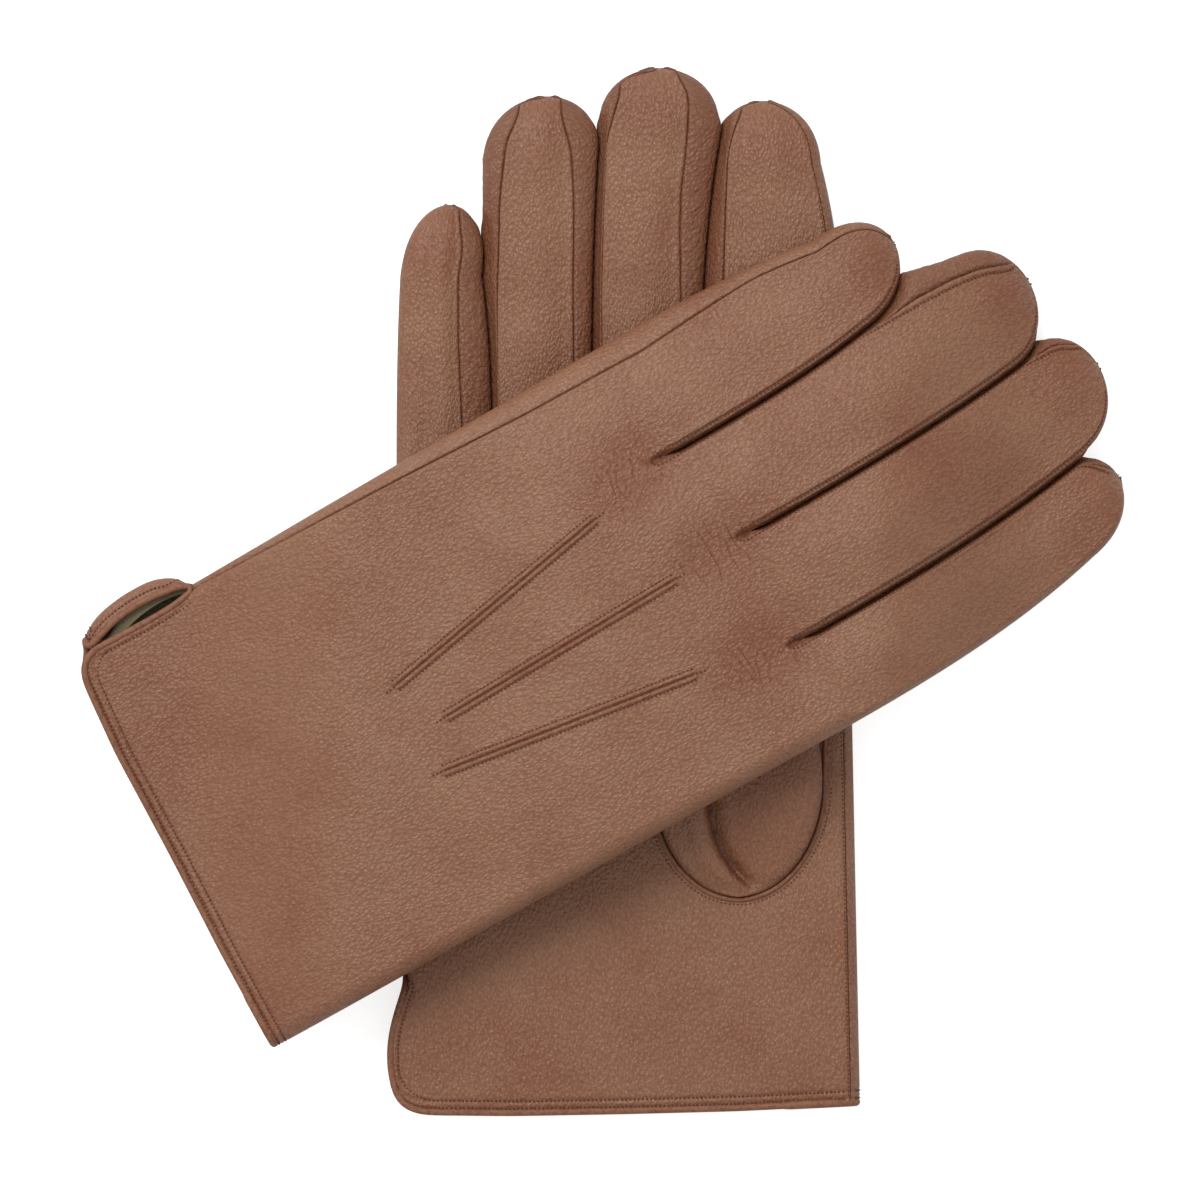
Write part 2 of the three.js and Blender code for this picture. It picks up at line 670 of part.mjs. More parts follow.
// The two side strips between neighbouring fingers, joined at the crotch.
function crotchFourchette(shape, k) {
  const half = (CROTCH_ROWS - 1) / 2;
  return gridSolid(2, CROTCH_ROWS, (i, j, layer) => {
    const onLeftFinger = j <= half;
    const finger = onLeftFinger ? k : k + 1;
    const step = onLeftFinger ? half - j : j - half - 1;
    const inset = layer * LEATHER;
    const station = { along: shape.lay.creases[finger] - CREASE_GAP / 2, share: step / half };
    const row = fingerRow(shape, finger, station, inset);
    row.alongLeft -= step === 0 ? inset : 0;
    row.alongRight -= step === 0 ? inset : 0;
    const seams = fingerSeams(shape, finger, row);
    const back = SEAM_BACK_LANE_SHARE + CROTCH_BACK_STEP_SHARE * laneStep(row, SEAM_BACK_LANE_SHARE);
    const palmLane = onLeftFinger ? seams.palmRight : mirrored(seams.palmLeft);
    const palm = palmLane - CROTCH_PALM_STEP_SHARE * laneStep(row, palmLane);
    const lane = lerp(back, palm, i / 2);
    return section(shape.lay, row, onLeftFinger ? lane : mirrored(lane), inset);
  });
}

// How far along the glove a row of the hand lies at a place across it.
function alongAt(shape, x, share) {
  const strips = [0, 1, 2, 3].map((k) => handRow(shape, k, share));
  const row = strips.find((strip) => x < strip.right) || strips[3];
  const across = THREE.MathUtils.clamp((x - row.left) / (row.right - row.left), 0, 1);
  return lerp(row.alongLeft, row.alongRight, across);
}

// The lining of the hand: a flat bag whose sides are open at the vent, and whose palm is open at the thumb.
function handLining(shape) {
  const lanes = [];
  for (let i = 0; i <= LINING_COLUMNS; i += 1) {
    lanes.push(lerp(-1, 1, i / LINING_COLUMNS));
  }
  lanes.push(...LINING_SIDE_LANE_SHARES);
  for (let i = 0; i <= LINING_COLUMNS; i += 1) {
    lanes.push(lerp(PALM_LANE - 1, PALM_LANE + 1, i / LINING_COLUMNS));
  }
  lanes.push(...LINING_SIDE_LANE_SHARES.map((lane) => lane + PALM_LANE));
  const rows = HAND_SHARES.slice(0, -1);
  rows[0] = LINING_START_SHARE;
  rows[rows.length - 1] = LINING_END_SHARE;
  const place = (i, j, layer) => {
    const inset = LINING_INSET + layer * LINING;
    const first = handRow(shape, 0, rows[j]);
    const last = handRow(shape, 3, rows[j]);
    const whole = { ...first, right: last.right, crown: 0 };
    const point = section(shape.lay, whole, lanes[i], inset);
    point.y = alongAt(shape, point.x, rows[j]);
    const onPalm = lanes[i] > SIDE_LANE_SHARE && lanes[i] < mirrored(SIDE_LANE_SHARE);
    point.z += handCrown(shape.lay, point.x, point.y, onPalm === shape.lay.palmUp);
    return point;
  };
  return gridSolid(lanes.length, rows.length - 1, place, true, (i, j) => {
    const next = lanes[(i + 1) % lanes.length];
    const onPalm = lanes[i] >= PALM_LANE - 1 && next <= PALM_LANE + 1 && next > lanes[i];
    const middle = place(i, j, 0).lerp(place((i + 1) % lanes.length, j + 1, 0), 0.5);
    const byCuff = rows[j] * CUFF_TO_ROOTS < VENT_LENGTH * LINING_VENT_SHARE;
    const atVent = lanes[i] > PALM_LANE && byCuff && !onPalm;
    return !atVent && !(onPalm && inThumbHole(middle));
  });
}

// The thumb's half width and centre at a distance along the glove.
function thumbHalfWidth(along) {
  if (along < THUMB_SHOULDER) {
    const share = (THUMB_SHOULDER - along) / (THUMB_SHOULDER - THUMB_START);
    return THUMB_ROOT_HALF_WIDTH * Math.sqrt(Math.max(0, 1 - share ** 2));
  }
  if (along < THUMB_CREASE) {
    const ahead = smoothstep(THUMB_SHOULDER, THUMB_CREASE, along);
    return lerp(THUMB_ROOT_HALF_WIDTH, THUMB_CREASE_HALF_WIDTH, ahead);
  }
  const taper = (along - THUMB_CREASE) / (THUMB_CAP_START - THUMB_CREASE);
  const width = lerp(THUMB_CREASE_HALF_WIDTH, THUMB_HALF_WIDTH, taper);
  const share = Math.max(0, (along - THUMB_CAP_START) / (THUMB_END - THUMB_CAP_START));
  return Math.max(width, THUMB_HALF_WIDTH) * capScale(share);
}

function thumbCentre(along) {
  return THUMB_CENTRE + THUMB_LEAN * smoothstep(THUMB_CREASE, THUMB_END, along);
}

function palmTop(lay) {
  return lay.palmUp ? 2 * HAND_RADIUS + HAND_CROWN + THUMB_CLEARANCE : -THUMB_CLEARANCE;
}

function thumbRow(lay, along, end) {
  const halfWidth = thumbHalfWidth(along);
  const centre = thumbCentre(along);
  const radius = THUMB_RADIUS * end;
  const middle = lay.palmUp ? palmTop(lay) + THUMB_RADIUS : palmTop(lay) - THUMB_RADIUS;
  const sides = { left: centre - halfWidth, right: centre + halfWidth };
  return { ...sides, alongLeft: along, alongRight: along, radius, middle, crown: 0 };
}

function thumbBase(shape) {
  return gridSolid(TUBE_LANE_SHARES.length, THUMB_BASE_ROW_SHARES.length - 1, (i, j, layer) => {
    const [at, end] = THUMB_BASE_ROW_SHARES[j];
    const along = lerp(THUMB_START, THUMB_CREASE - CREASE_GAP / 2, at);
    const row = thumbRow(shape.lay, along, end);
    row.alongLeft += j === 0 ? layer * LEATHER : 0;
    row.alongRight = row.alongLeft;
    return section(shape.lay, row, TUBE_LANE_SHARES[i], layer * LEATHER);
  }, true, (i, j) => {
    const facesPalm = TUBE_LANE_SHARES[i] >= -1 && TUBE_LANE_SHARES[i] < 1;
    return !(facesPalm && (j === 1 || j === 2));
  });
}

function thumbTip(shape) {
  return gridSolid(TUBE_LANE_SHARES.length, THUMB_TIP_ROW_SHARES.length - 1, (i, j, layer) => {
    const [at, end] = THUMB_TIP_ROW_SHARES[j];
    const along = lerp(THUMB_CREASE + CREASE_GAP / 2, THUMB_END, at);
    const row = thumbRow(shape.lay, along, end);
    row.alongLeft -= j === THUMB_TIP_ROW_SHARES.length - 1 ? layer * LEATHER : 0;
    row.alongRight = row.alongLeft;
    return section(shape.lay, row, TUBE_LANE_SHARES[i], layer * LEATHER);
  }, true);
}

function thumbLining(shape) {
  return gridSolid(TUBE_LANE_SHARES.length, THUMB_TIP_ROW_SHARES.length - 2, (i, j, layer) => {
    const inset = LEATHER + SEAM_GAP + layer * LINING;
    const [at, end] = THUMB_TIP_ROW_SHARES[j];
    const along = lerp(THUMB_CREASE + CREASE_GAP, THUMB_END, at);
    return section(shape.lay, thumbRow(shape.lay, along, end), TUBE_LANE_SHARES[i], inset);
  }, true);
}

// The height of the palm's or the back's outside at a place on the hand.
function skinHeight(lay, x, along, back) {
  const facesUp = back !== lay.palmUp;
  const radius = handRadius(along);
  return radius + (facesUp ? radius : -radius) + handCrown(lay, x, along, facesUp);
}

function thumbWelt(shape) {
  const lay = shape.lay;
  const path = [];
  const clear = WELT_CLEARANCE + WELT_RADIUS;
  const out = lay.palmUp ? 1 : -1;
  for (let i = 0; i <= WELT_STEPS; i += 1) {
    const turn = lerp(-1, 1, i / WELT_STEPS);
    const angle = (turn * Math.PI) / 2;
    const below = (THUMB_SHOULDER - THUMB_START + clear) * Math.cos(angle);
    const ahead = Math.max(0, Math.abs(turn) - WELT_STRAIGHT_SHARE) / (1 - WELT_STRAIGHT_SHARE);
    const above = (WELT_END - THUMB_SHOULDER) * ahead;
    const reach = THUMB_ROOT_HALF_WIDTH + clear;
    const x = THUMB_CENTRE + reach * Math.sin(angle);
    const along = THUMB_SHOULDER - below + above;
    path.push(new THREE.Vector3(x, along, skinHeight(lay, x, along, false) + out * clear));
  }
  return beadSolid(path, WELT_RADIUS, WELT_STEPS);
}

// A raised, sewn tuck on the back of the hand.
function backPoint(shape, k) {
  const lay = shape.lay;
  const [fromX, fromAlong] = POINT_STARTS[k];
  const [toX, toAlong] = POINT_ENDS[k];
  const height = lay.palmUp ? PRESSED_POINT_HEIGHT : POINT_HEIGHT;
  const clear = lay.palmUp ? SEAM_GAP : POINT_CLEARANCE;
  const out = lay.palmUp ? -1 : 1;
  const path = [];
  for (let i = 0; i <= POINT_STEPS; i += 1) {
    const x = lerp(fromX, toX, i / POINT_STEPS);
    const along = lerp(fromAlong, toAlong, i / POINT_STEPS);
    path.push(new THREE.Vector3(x, along, skinHeight(lay, x, along, true) + out * clear));
  }
  return ridgeSolid(path, (i) => {
    const narrow = i === 0 || i === POINT_STEPS ? POINT_END_SHARE : 1;
    const halfWidth = POINT_HALF_WIDTH * narrow;
    return POINT_OUTLINE_SHARES.map(([wide, high]) => [wide * halfWidth, out * high * height]);
  });
}

// The bound edge: from the top of the vent down its palm edge, round the cuff, and back up its other edge.
function cuffBinding(shape) {
  const lay = shape.lay;
  const clear = SEAM_GAP + BINDING_RADIUS;
  const lower = BINDING_RADIUS + SEAM_GAP;
  const upper = 2 * CUFF_RADIUS - lower;
  const heightOf = (back, share) => {
    const level = back !== lay.palmUp ? upper : lower;
    return lerp(CUFF_RADIUS, level, share);
  };
  const left = shape.cuffs[0];
  const right = shape.cuffs[4] - CUFF_RADIUS;
  const leaf = (back) => {
    const bulge = back ? 0 : lay.ventBulge;
    const place = (x, along, share) => new THREE.Vector3(x, along + hemRise(lay, x), heightOf(back, share));
    const points = VENT_EDGE_SHARES.map(([out, up, share]) => {
      return place(left - clear - bulge * out, VENT_LENGTH * up, share);
    });
    for (const degrees of CORNER_DEGREES) {
      const angle = THREE.MathUtils.degToRad(degrees);
      const reach = CORNER_RADIUS + clear;
      const edge = left - bulge * CORNER_BULGE_SHARE * Math.sin(angle);
      const share = lerp(1, BINDING_SIDE_SHARE, degrees / CORNER_DEGREES[0]);
      const along = HEM_INSET + CORNER_RADIUS - reach * Math.cos(angle);
      points.push(place(edge + CORNER_RADIUS - reach * Math.sin(angle), along, share));
    }
    for (let i = 1; i <= HEM_STEPS; i += 1) {
      points.push(place(lerp(left + CORNER_RADIUS, right, i / HEM_STEPS), BINDING_RADIUS, 1));
    }
    return points;
  };
  const turn = FOLD_DEGREES.map((degrees) => {
    const angle = THREE.MathUtils.degToRad(degrees);
    const x = right + (CUFF_RADIUS - lower) * Math.sin(angle);
    return new THREE.Vector3(x, BINDING_RADIUS + hemRise(lay, x), heightOf(false, Math.cos(angle)));
  });
  return beadSolid([...leaf(false), ...turn, ...leaf(true).reverse()], BINDING_RADIUS, BINDING_STEPS);
}

function plateau(low, high, fall, value) {
  return smoothstep(low - fall, low, value) * (1 - smoothstep(high, high + fall, value));
}

// How high the left glove hangs at a place: flat on the right one, and down to the table on both sides.
function drape(x, y) {
  const glove = plateau(GLOVE_REST.left, GLOVE_REST.right, GLOVE_REST.fall, x);
  const area = (rest) => {
    return plateau(rest.left, rest.right, rest.fall, x) * plateau(rest.low, rest.high, rest.fall, y);
  };
  return RIGHT_GLOVE_TOP * glove + THUMB_LAYER * area(THUMB_REST) + THUMB_LAYER * area(CROSSING_REST);
}

// Lays a glove's own millimetres on the table.
function layOut(lay) {
  const turned = lay.side === 'left';
  const [cuffX, cuffY] = turned ? LEFT_CUFF : RIGHT_CUFF;
  const turn = turned ? LEFT_TURN : 0;
  return (point) => {
    const x = cuffX + point.x * Math.cos(turn) + point.y * Math.sin(turn);
    const y = cuffY - point.x * Math.sin(turn) + point.y * Math.cos(turn);
    return new THREE.Vector3(x, y, point.z + (turned ? drape(x, y) : 0));
  };
}

function leatherMaterial(colour) {
  return new THREE.MeshStandardMaterial({ color: colour, roughness: 0.55, metalness: 0 });
}

const leather = leatherMaterial(LEATHER_COLOUR);
const edging = leatherMaterial(EDGE_COLOUR);
const lining = new THREE.MeshStandardMaterial({ color: LINING_COLOUR, roughness: 0.9, metalness: 0 });

// Puts a solid in its place under the point it turns about.
function addPiece(group, name, geometry, material, toTable) {
  const place = geometry.attributes.position;
  for (let i = 0; i < place.count; i += 1) {
    const point = toTable(new THREE.Vector3().fromBufferAttribute(place, i)).sub(group.position);
    place.setXYZ(i, point.x, point.y, point.z);
  }
  geometry.computeVertexNormals();
  const mesh = new THREE.Mesh(geometry, material);
  mesh.name = name;
  group.add(mesh);
}

// The point at the top of finger k's crease, about which it folds up off the table.
function fingerPivot(shape, k, toTable) {
  const row = fingerRow(shape, k, { along: shape.lay.creases[k], share: 1 }, 0);
  const upper = shape.lay.palmUp ? PALM_LANE : 0;
  const tops = PIVOT_LANE_SHARES.map((lane) => toTable(section(shape.lay, row, upper + lane, 0)));
  const highest = Math.max(...tops.map((p) => p.z));
  const centre = toTable(new THREE.Vector3((row.left + row.right) / 2, shape.lay.creases[k], 0));
  return new THREE.Vector3(centre.x, centre.y, highest);
}

function thumbPivot(shape, toTable) {
  const row = thumbRow(shape.lay, THUMB_CREASE, 1);
  return toTable(new THREE.Vector3(row.right, THUMB_CREASE, row.middle));
}

function glove(lay) {
  const shape = gloveShape(lay);
  const toTable = layOut(lay);
  const hand = new THREE.Group();
  const name = (piece) => lay.side + '_' + piece;
  addPiece(hand, name('back_panel'), handPanel(shape, true), leather, toTable);
  addPiece(hand, name('palm_panel'), handPanel(shape, false), leather, toTable);
  addPiece(hand, name('hand_lining'), handLining(shape), lining, toTable);
  addPiece(hand, name('thumb_base'), thumbBase(shape), leather, toTable);
  addPiece(hand, name('thumb_welt'), thumbWelt(shape), edging, toTable);
  addPiece(hand, name('cuff_binding'), cuffBinding(shape), edging, toTable);
  ['outer', 'middle', 'inner'].forEach((which, k) => {
    addPiece(hand, name('point_' + which), backPoint(shape, k), edging, toTable);
  });
  [0, 1, 2].forEach((k) => {
    const between = FINGERS[k] + '_' + FINGERS[k + 1] + '_fourchette';
    addPiece(hand, name(between), crotchFourchette(shape, k), leather, toTable);
  });
  FINGERS.forEach((finger, k) => {
    const folding = new THREE.Group();
    folding.position.copy(fingerPivot(shape, k, toTable));
    addPiece(folding, name(finger + '_back'), fingerPanel(shape, k, true), leather, toTable);
    addPiece(folding, name(finger + '_palm'), fingerPanel(shape, k, false), leather, toTable);
    addPiece(folding, name(finger + '_fourchette'), fingerFourchette(shape, k), leather, toTable);
    addPiece(folding, name(finger + '_lining'), fingerLining(shape, k), lining, toTable);
    hand.add(folding);
  });
  const swinging = new THREE.Group();
  swinging.position.copy(thumbPivot(shape, toTable));
  addPiece(swinging, name('thumb_tip'), thumbTip(shape), leather, toTable);
  addPiece(swinging, name('thumb_lining'), thumbLining(shape), lining, toTable);
  hand.add(swinging);
  return hand;
}

const pair = new THREE.Group();
pair.add(glove(rightLay), glove(leftLay));
pair.updateMatrixWorld(true);
const box = new THREE.Box3().setFromObject(pair);
pair.position.set(-(box.min.x + box.max.x) / 2, -(box.min.y + box.max.y) / 2, -box.min.z);

export default pair;
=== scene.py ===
# A pair of men's tan leather dress gloves, laid crossed: leather, seams, stitches and lining over the solids.
# Sizes are millimetres until a mesh is made. A glove's own x runs across it, and y from its cuff to its tips.
import math

import bmesh
import bpy
import numpy as np
from mathutils import Matrix, Vector


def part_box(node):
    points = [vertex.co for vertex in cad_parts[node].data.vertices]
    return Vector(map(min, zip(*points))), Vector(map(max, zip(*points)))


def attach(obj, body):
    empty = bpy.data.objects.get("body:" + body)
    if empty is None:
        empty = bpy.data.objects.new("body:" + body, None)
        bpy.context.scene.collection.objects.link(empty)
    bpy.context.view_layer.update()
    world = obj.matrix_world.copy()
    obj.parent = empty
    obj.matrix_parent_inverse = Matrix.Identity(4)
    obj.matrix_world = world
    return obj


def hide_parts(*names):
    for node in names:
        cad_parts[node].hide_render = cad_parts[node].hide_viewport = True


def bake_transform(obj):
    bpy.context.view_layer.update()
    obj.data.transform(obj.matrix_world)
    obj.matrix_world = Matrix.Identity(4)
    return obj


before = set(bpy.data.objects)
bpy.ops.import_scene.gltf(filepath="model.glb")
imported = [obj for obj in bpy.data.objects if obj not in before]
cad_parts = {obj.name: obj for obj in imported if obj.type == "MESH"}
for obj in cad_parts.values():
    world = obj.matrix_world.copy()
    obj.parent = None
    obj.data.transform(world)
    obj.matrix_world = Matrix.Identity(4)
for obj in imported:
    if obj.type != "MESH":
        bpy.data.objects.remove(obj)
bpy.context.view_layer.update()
MM = 0.001

# Sizes of one glove
HAND_HALF_WIDTH = 53.5
CUFF_TO_ROOTS = 155.0
FINGER_LENGTHS = (67.0, 90.5, 95.0, 86.0)
FINGER_CAPS = (17.0, 15.0, 15.0, 15.0)
HAND_RADIUS = 4.7
FINGER_RADIUS = 4.6
CUFF_RADIUS = 4.5
CUFF_TAPER = 35.0
HAND_CROWN = 1.0
FINGER_CROWN = 0.9
CROWN_SHOWN = 0.7
REST_HOLLOW = 0.6
HIDDEN_HOLLOW = 0.25
CROWN_START = 26.0
CROWN_RISE = 28.0
SIDE_ROLL = 4.2
FINGER_SIDE_ROLL = 1.6
FINGER_GAP = 0.6
SWELL_BEFORE = 6.0
SWELL_AFTER = 14.0
SIDE_LEAN = 0.85
LEATHER = 0.8
STRIP_WALL = 0.6
STRIP_WIDTH = 9.0
STRIP_TUCK = 1.1
LINING_INSET = 1.5
LINING_WALL = 0.35
LINING_HEM = 1.6
LINING_LENGTH = CUFF_TO_ROOTS - 22
CAP_POWER = 2.4
EDGE_POWER = 3

# Seams: how far each lies in from its glove's or finger's side
LAP_INSET = 0.4
LAP_STITCH = 1.35
INSEAM_ROLL = 0.62
HIDDEN_INSEAM = 5.0
INDEX_SEAM_INSET = 2.1
SEAM_SPREAD = 16.0
VALLEY_LENGTH = 5.0
VALLEY_SLOPE = math.sin(math.radians(50))
LAST_STITCH = 0.91
SLIT_OPENING = 6.0
CROTCH_LOOP, CROTCH_LOOP_BEFORE = (LAP_STITCH + 0.05, 1.9), 0.6
STITCH_PITCH = 0.98
STITCH_LENGTH = 0.62
STITCH_RADIUS = 0.24
FINGER_STITCH_SINK = 0.02

# Before each crotch: a dimple's depth, place and reach, and the place and reach of the wear there, which also
# paints the dimple's shade
CROTCH_DIMPLE, DIMPLE_BEFORE, DIMPLE_REACH = 1.2, 4, (8, 10)
WEAR_AND_SHADE_BEFORE, WEAR_AND_SHADE_REACH = 9, (11, 15)

# The cuff
VENT_LENGTH = 35.0
VENT_WRAP = 4.2
LINING_SHOWN = 2.6
VENT_TUCK = 0.6
VENT_INSETS = (1.5, 0.9)
HEM_INSET = 1.9
BINDING_RADIUS = 0.85
BINDING_SINK, BINDING_OUT = 0.35, 0.45
OVERLAP_STARTS, OVERLAP_ENDS, OVERLAP_SWELL = (38, 39), (55, 57), 0.22
CUFF_MIDDLE = (0.0, 30.0)
HEM_CROWDING = 1.6
FLOOR_GAP = 0.1
CUFF_ROWS = (0.55, 2.3)
CUFF_ROW_SINKS = (0.08, 0.06)
LEAVES_PART = (VENT_LENGTH, VENT_LENGTH + 2)
VENT_TOP = (VENT_LENGTH - 4, VENT_LENGTH + 1.5)

# Grooves along a sewn edge: how far from the edge, how wide, how deep (a lip is below 0) and how much painted
# shade it gets (on a lip, below 0, painted light)
GROOVES = {
    "lap": ((LAP_STITCH, 0.4, 0.26, 0.12), (0.65, 0.4, -0.16, -0.12), (0, 0.25, 0.2, 0.3)),
    "hem": ((CUFF_ROWS[0], 0.4, 0.3, 0.22), (CUFF_ROWS[1], 0.4, 0.26, 0.12)),
    "seam": ((0, 0.3, 0, 0.34),),
}

# Side rolls: how much wider than the seam in it a roll is, its widest, and that of a vent's flat leaf
HAND_ROLL = (0.6, 6.4)
FINGER_ROLL = (1.2, 7.5)
LEAF_ROLL = 1.5
WIDEST_ROLL = 0.62

# The leather's unevenness: its height, its wavelength and its seeds for a glove back up and palm up
HAND_UNEVEN = ((0.28, 34, (9, 4)), (0.10, 13, (8, 5)))
FINGER_UNEVEN = (0.16, 17, (20, 27))
EVEN_SIDE, EVEN_HEM = 10, (3, 20)

# Where handling reddens and creases it: the cuff, whose darkening is also painted shade, and each finger's tip
# and knuckle (how much, place, reach)
CUFF_WEAR_AND_SHADE, CUFF_WEAR_AND_SHADE_ENDS = 0.4, (8, 75)
FINGER_WEAR = ((0.5, 9, 8), (0.35, 44, 14))

# The thumb
THUMB_START = 52.5
THUMB_SHOULDER = 80.0
THUMB_CREASE = 112.0
THUMB_CAP_START = 140.0
THUMB_END = 159.0
THUMB_CAP = THUMB_END - THUMB_CAP_START
THUMB_CENTRE = 27.0
THUMB_LEAN = 3.0
THUMB_ROOT_HALF_WIDTH = 20.0
THUMB_CREASE_HALF_WIDTH = 15.8
THUMB_HALF_WIDTH = 13.6
THUMB_RADIUS = 2.5
THUMB_ROLL = 4.5
THUMB_SUNK = 1.9
THUMB_CLEARANCE = 0.5
CREASE_GAP = 0.3
THUMB_HOLE = (14.0, 18.0)
THUMB_FOLD = ((52, 31.5), (55, 29.6), (58.5, 26.4), (62, 23.8), (66, 21.9), (71, 20.6), (78, 19.5), (100, 17.0))
FOLD_STARTS, FOLD_ENDS = (53.2, 57.5), (92, 108)
WELT_RADIUS = 0.55
WELT_END = 97.0
THUMB_BEND = 18.0

# How far apart in the skin the hand, the thumbs and the sewn points are cut, so that their grain differs
SKIN_STEP = 200

# The three sewn points on the back
POINT_HALF_WIDTH = 1.45
POINT_HEIGHT = 0.75
POINT_STARTS = ((-7.8, 66.3), (4.3, 73.1), (15.0, 66.1))
POINT_ENDS = ((-18.8, 128.6), (3.0, 138.0), (24.9, 131.0))

# How the pair is laid
LEFT_TURN = math.radians(60.2)
LEFT_CUFF = (-103.6, -62.4)
RIGHT_CUFF = (4.9, -124.7)
STACK_GAP = 0.3
THUMB_LAYER = 2 * THUMB_RADIUS + THUMB_CLEARANCE
RIGHT_GLOVE_TOP = 2 * HAND_RADIUS + HAND_CROWN + STACK_GAP
GLOVE_REST = (-54.0, 63.0, 54.0)
THUMB_REST = ((-58.0, 62.0, 44.0), (-88.0, 38.0, 44.0))
CROSSING_REST = ((2.0, 60.0, 46.0), (-52.0, 10.0, 46.0))
FOLD_BEND = 10.0

# Mesh spacing
FINE = 0.28
COARSE = 0.75
HIDDEN_COARSE = 1.3
STRIP_COARSE = 0.8
SHARP_ANGLE = math.radians(62)

# How a line through a few points is softened: margin and step in millimetres, reach and width in steps
TABLE_MARGIN, TABLE_STEP, TABLE_REACH, TABLE_WIDTH = 9, 0.5, 12, 4.5

FINGERS = ("little", "ring", "middle", "index")
NO_NEIGHBOUR = 99.0


def is_outer(k, side):
    """Whether that side of finger k is a side of the whole glove."""
    return (k, side) in ((0, -1), (3, 1))


def inner_sides(k):
    return [side for side in (-1, 1) if not is_outer(k, side)]


def lerp(a, b, share):
    return a + (b - a) * share


def smooth(low, high, value):
    share = np.clip((value - low) / (high - low), 0, 1)
    return share * share * (3 - 2 * share)


def table(points):
    """A softened line through (along, value) pairs, as a function of along."""
    alongs, values = zip(*points)
    dense = np.arange(alongs[0] - TABLE_MARGIN, alongs[-1] + TABLE_MARGIN, TABLE_STEP)
    weights = np.exp(-(np.arange(-TABLE_REACH, TABLE_REACH + 1) / TABLE_WIDTH) ** 2)
    level = np.pad(np.interp(dense, alongs, values), TABLE_REACH, mode="edge")
    level = np.convolve(level, weights / weights.sum(), "valid")
    return lambda along: np.interp(along, dense, level)


# Each lay gives shares of the half width for the outline, and then lines along the glove: the vent's two
# leaves, the outer seam's inset, and where the seams beside the fingers lie. Pairs are for palm and back.
LEFT = dict(
    side="left", palm_up=False,
    roots=(-1, -0.44, 0.037, 0.561, 1), root_along=(0.96, 0.958, 1.013, 1, 1),
    cuffs=(-0.985, -0.5, 0, 0.5, 0.975),
    shoulder_left=(-0.94, -0.57, -0.06, 0.48), shoulder_right=(-0.495, -0.012, 0.48, 0.895),
    swells=(0, 0.06, 0, 0),
    tips=(-0.755, -0.31, 0.17, 0.635), reach=(1, 1, 1, 1), creases=(160, 169, 169, 166),
    corner_radius=6.0, corner_edges=(-51.6, -51.6), corner_rises=(3.6, 6.0),
    hem_rises=(3, 0.6, -0.1, -1.1, -1.4),
    back_leaf=table([(8.8, -51.7), (18.5, -51.4), (25.2, -51.2), (31.2, -51.3), (37, -52.0)]),
    palm_leaf=table([(7, -53.6), (8.5, -55.0), (12.1, -57.2), (16.6, -58.4), (22.1, -59.0), (28.8, -58.8),
                     (33.1, -57.2), (35.4, -55.5), (37, -53.2)]),
    outer_seam=table([(37, 0.9), (65, 2.0), (92, 3.2), (125, 5.0), (157, 5.8), (173, 4.4), (189, 2.8),
                      (209, 2.7), (217, 2)]),
    lap_left={
        1: table([(198, -24.2), (208, -24.1), (219, -24.8), (229, -24.5), (237, -23.4), (243, -20.9)]),
        2: table([(182, 3.7), (200.6, 3.0), (230.3, 1.2), (238, 0.8), (243.6, 0.8), (248, 4.0)]),
        3: table([(212.4, 28.6), (225.8, 27.2), (231.2, 27.3), (235.7, 28.5), (239, 31.8), (240.4, 34.6)]),
    },
    palm_left={}, palm_right={},
)
RIGHT = dict(
    side="right", palm_up=True,
    roots=(-1.012, -0.59, -0.15, 0.335, 0.99), root_along=(0.96, 0.958, 1.013, 1, 1),
    cuffs=(-0.99, -0.52, -0.03, 0.49, 1.05),
    shoulder_left=(-0.995, -0.635, -0.12, 0.405), shoulder_right=(-0.635, -0.12, 0.43, 0.875),
    swells=(0, 0, 0, 0),
    tips=(-0.775, -0.34, 0.155, 0.615), reach=(0.925, 0.97, 0.995, 1.008), creases=(172, 186, 202, 218),
    corner_radius=9.0, corner_edges=(-56.2, -52.0), corner_rises=(9.0, 9.0),
    hem_rises=(0, -0.3, 0.2, 0.9, 2.2),
    back_leaf=table([(9, -52.0), (37, -52.6)]),
    palm_leaf=table([(5.5, -54.8), (11.5, -56.3), (17.4, -56.3), (23.3, -55.1), (29.2, -53.2), (34, -51.2),
                     (37, -52.6)]),
    outer_seam=table([(37, 0.9), (92, 3.2), (157, 5), (189, 3), (217, 2)]),
    lap_left={},
    palm_left={
        1: table([(168, -30.4), (192.4, -30.4), (217.8, -29.6), (232, -28), (238, -25)]),
        2: table([(183, -5.5), (194, -5.7), (218, -5.2), (232, -4.5), (243, -1.0)]),
        3: table([(199, 23.5), (218, 24.0), (229, 24.4), (234.4, 25.8), (239, 28.0)]),
    },
    palm_right={
        0: table([(163, -38.4), (185, -39.4), (199, -39.4), (207, -38.2), (210.5, -38.9), (215.6, -39.1)]),
        1: table([(179, -11.9), (196, -12.1), (217.8, -11.9), (230, -12.6), (238, -15.0)]),
        2: table([(194, 13.5), (210, 13.3), (220, 13.5), (229.6, 14.7), (237.7, 15.2), (243, 15.4),
                  (248.8, 12.0)]),
    },
)

# The pair's middle is moved over the frame's origin: read from where the right thumb's tip was put.
thumb_low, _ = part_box("right_thumb_tip")
SHIFT_X = thumb_low.x / MM - (RIGHT_CUFF[0] + THUMB_CENTRE - THUMB_CREASE_HALF_WIDTH)
SHIFT_Y = thumb_low.y / MM - (RIGHT_CUFF[1] + THUMB_CREASE + CREASE_GAP / 2)


def plateau(rest, value):
    low, high, fall = rest
    return smooth(low - fall, low, value) * (1 - smooth(high, high + fall, value))


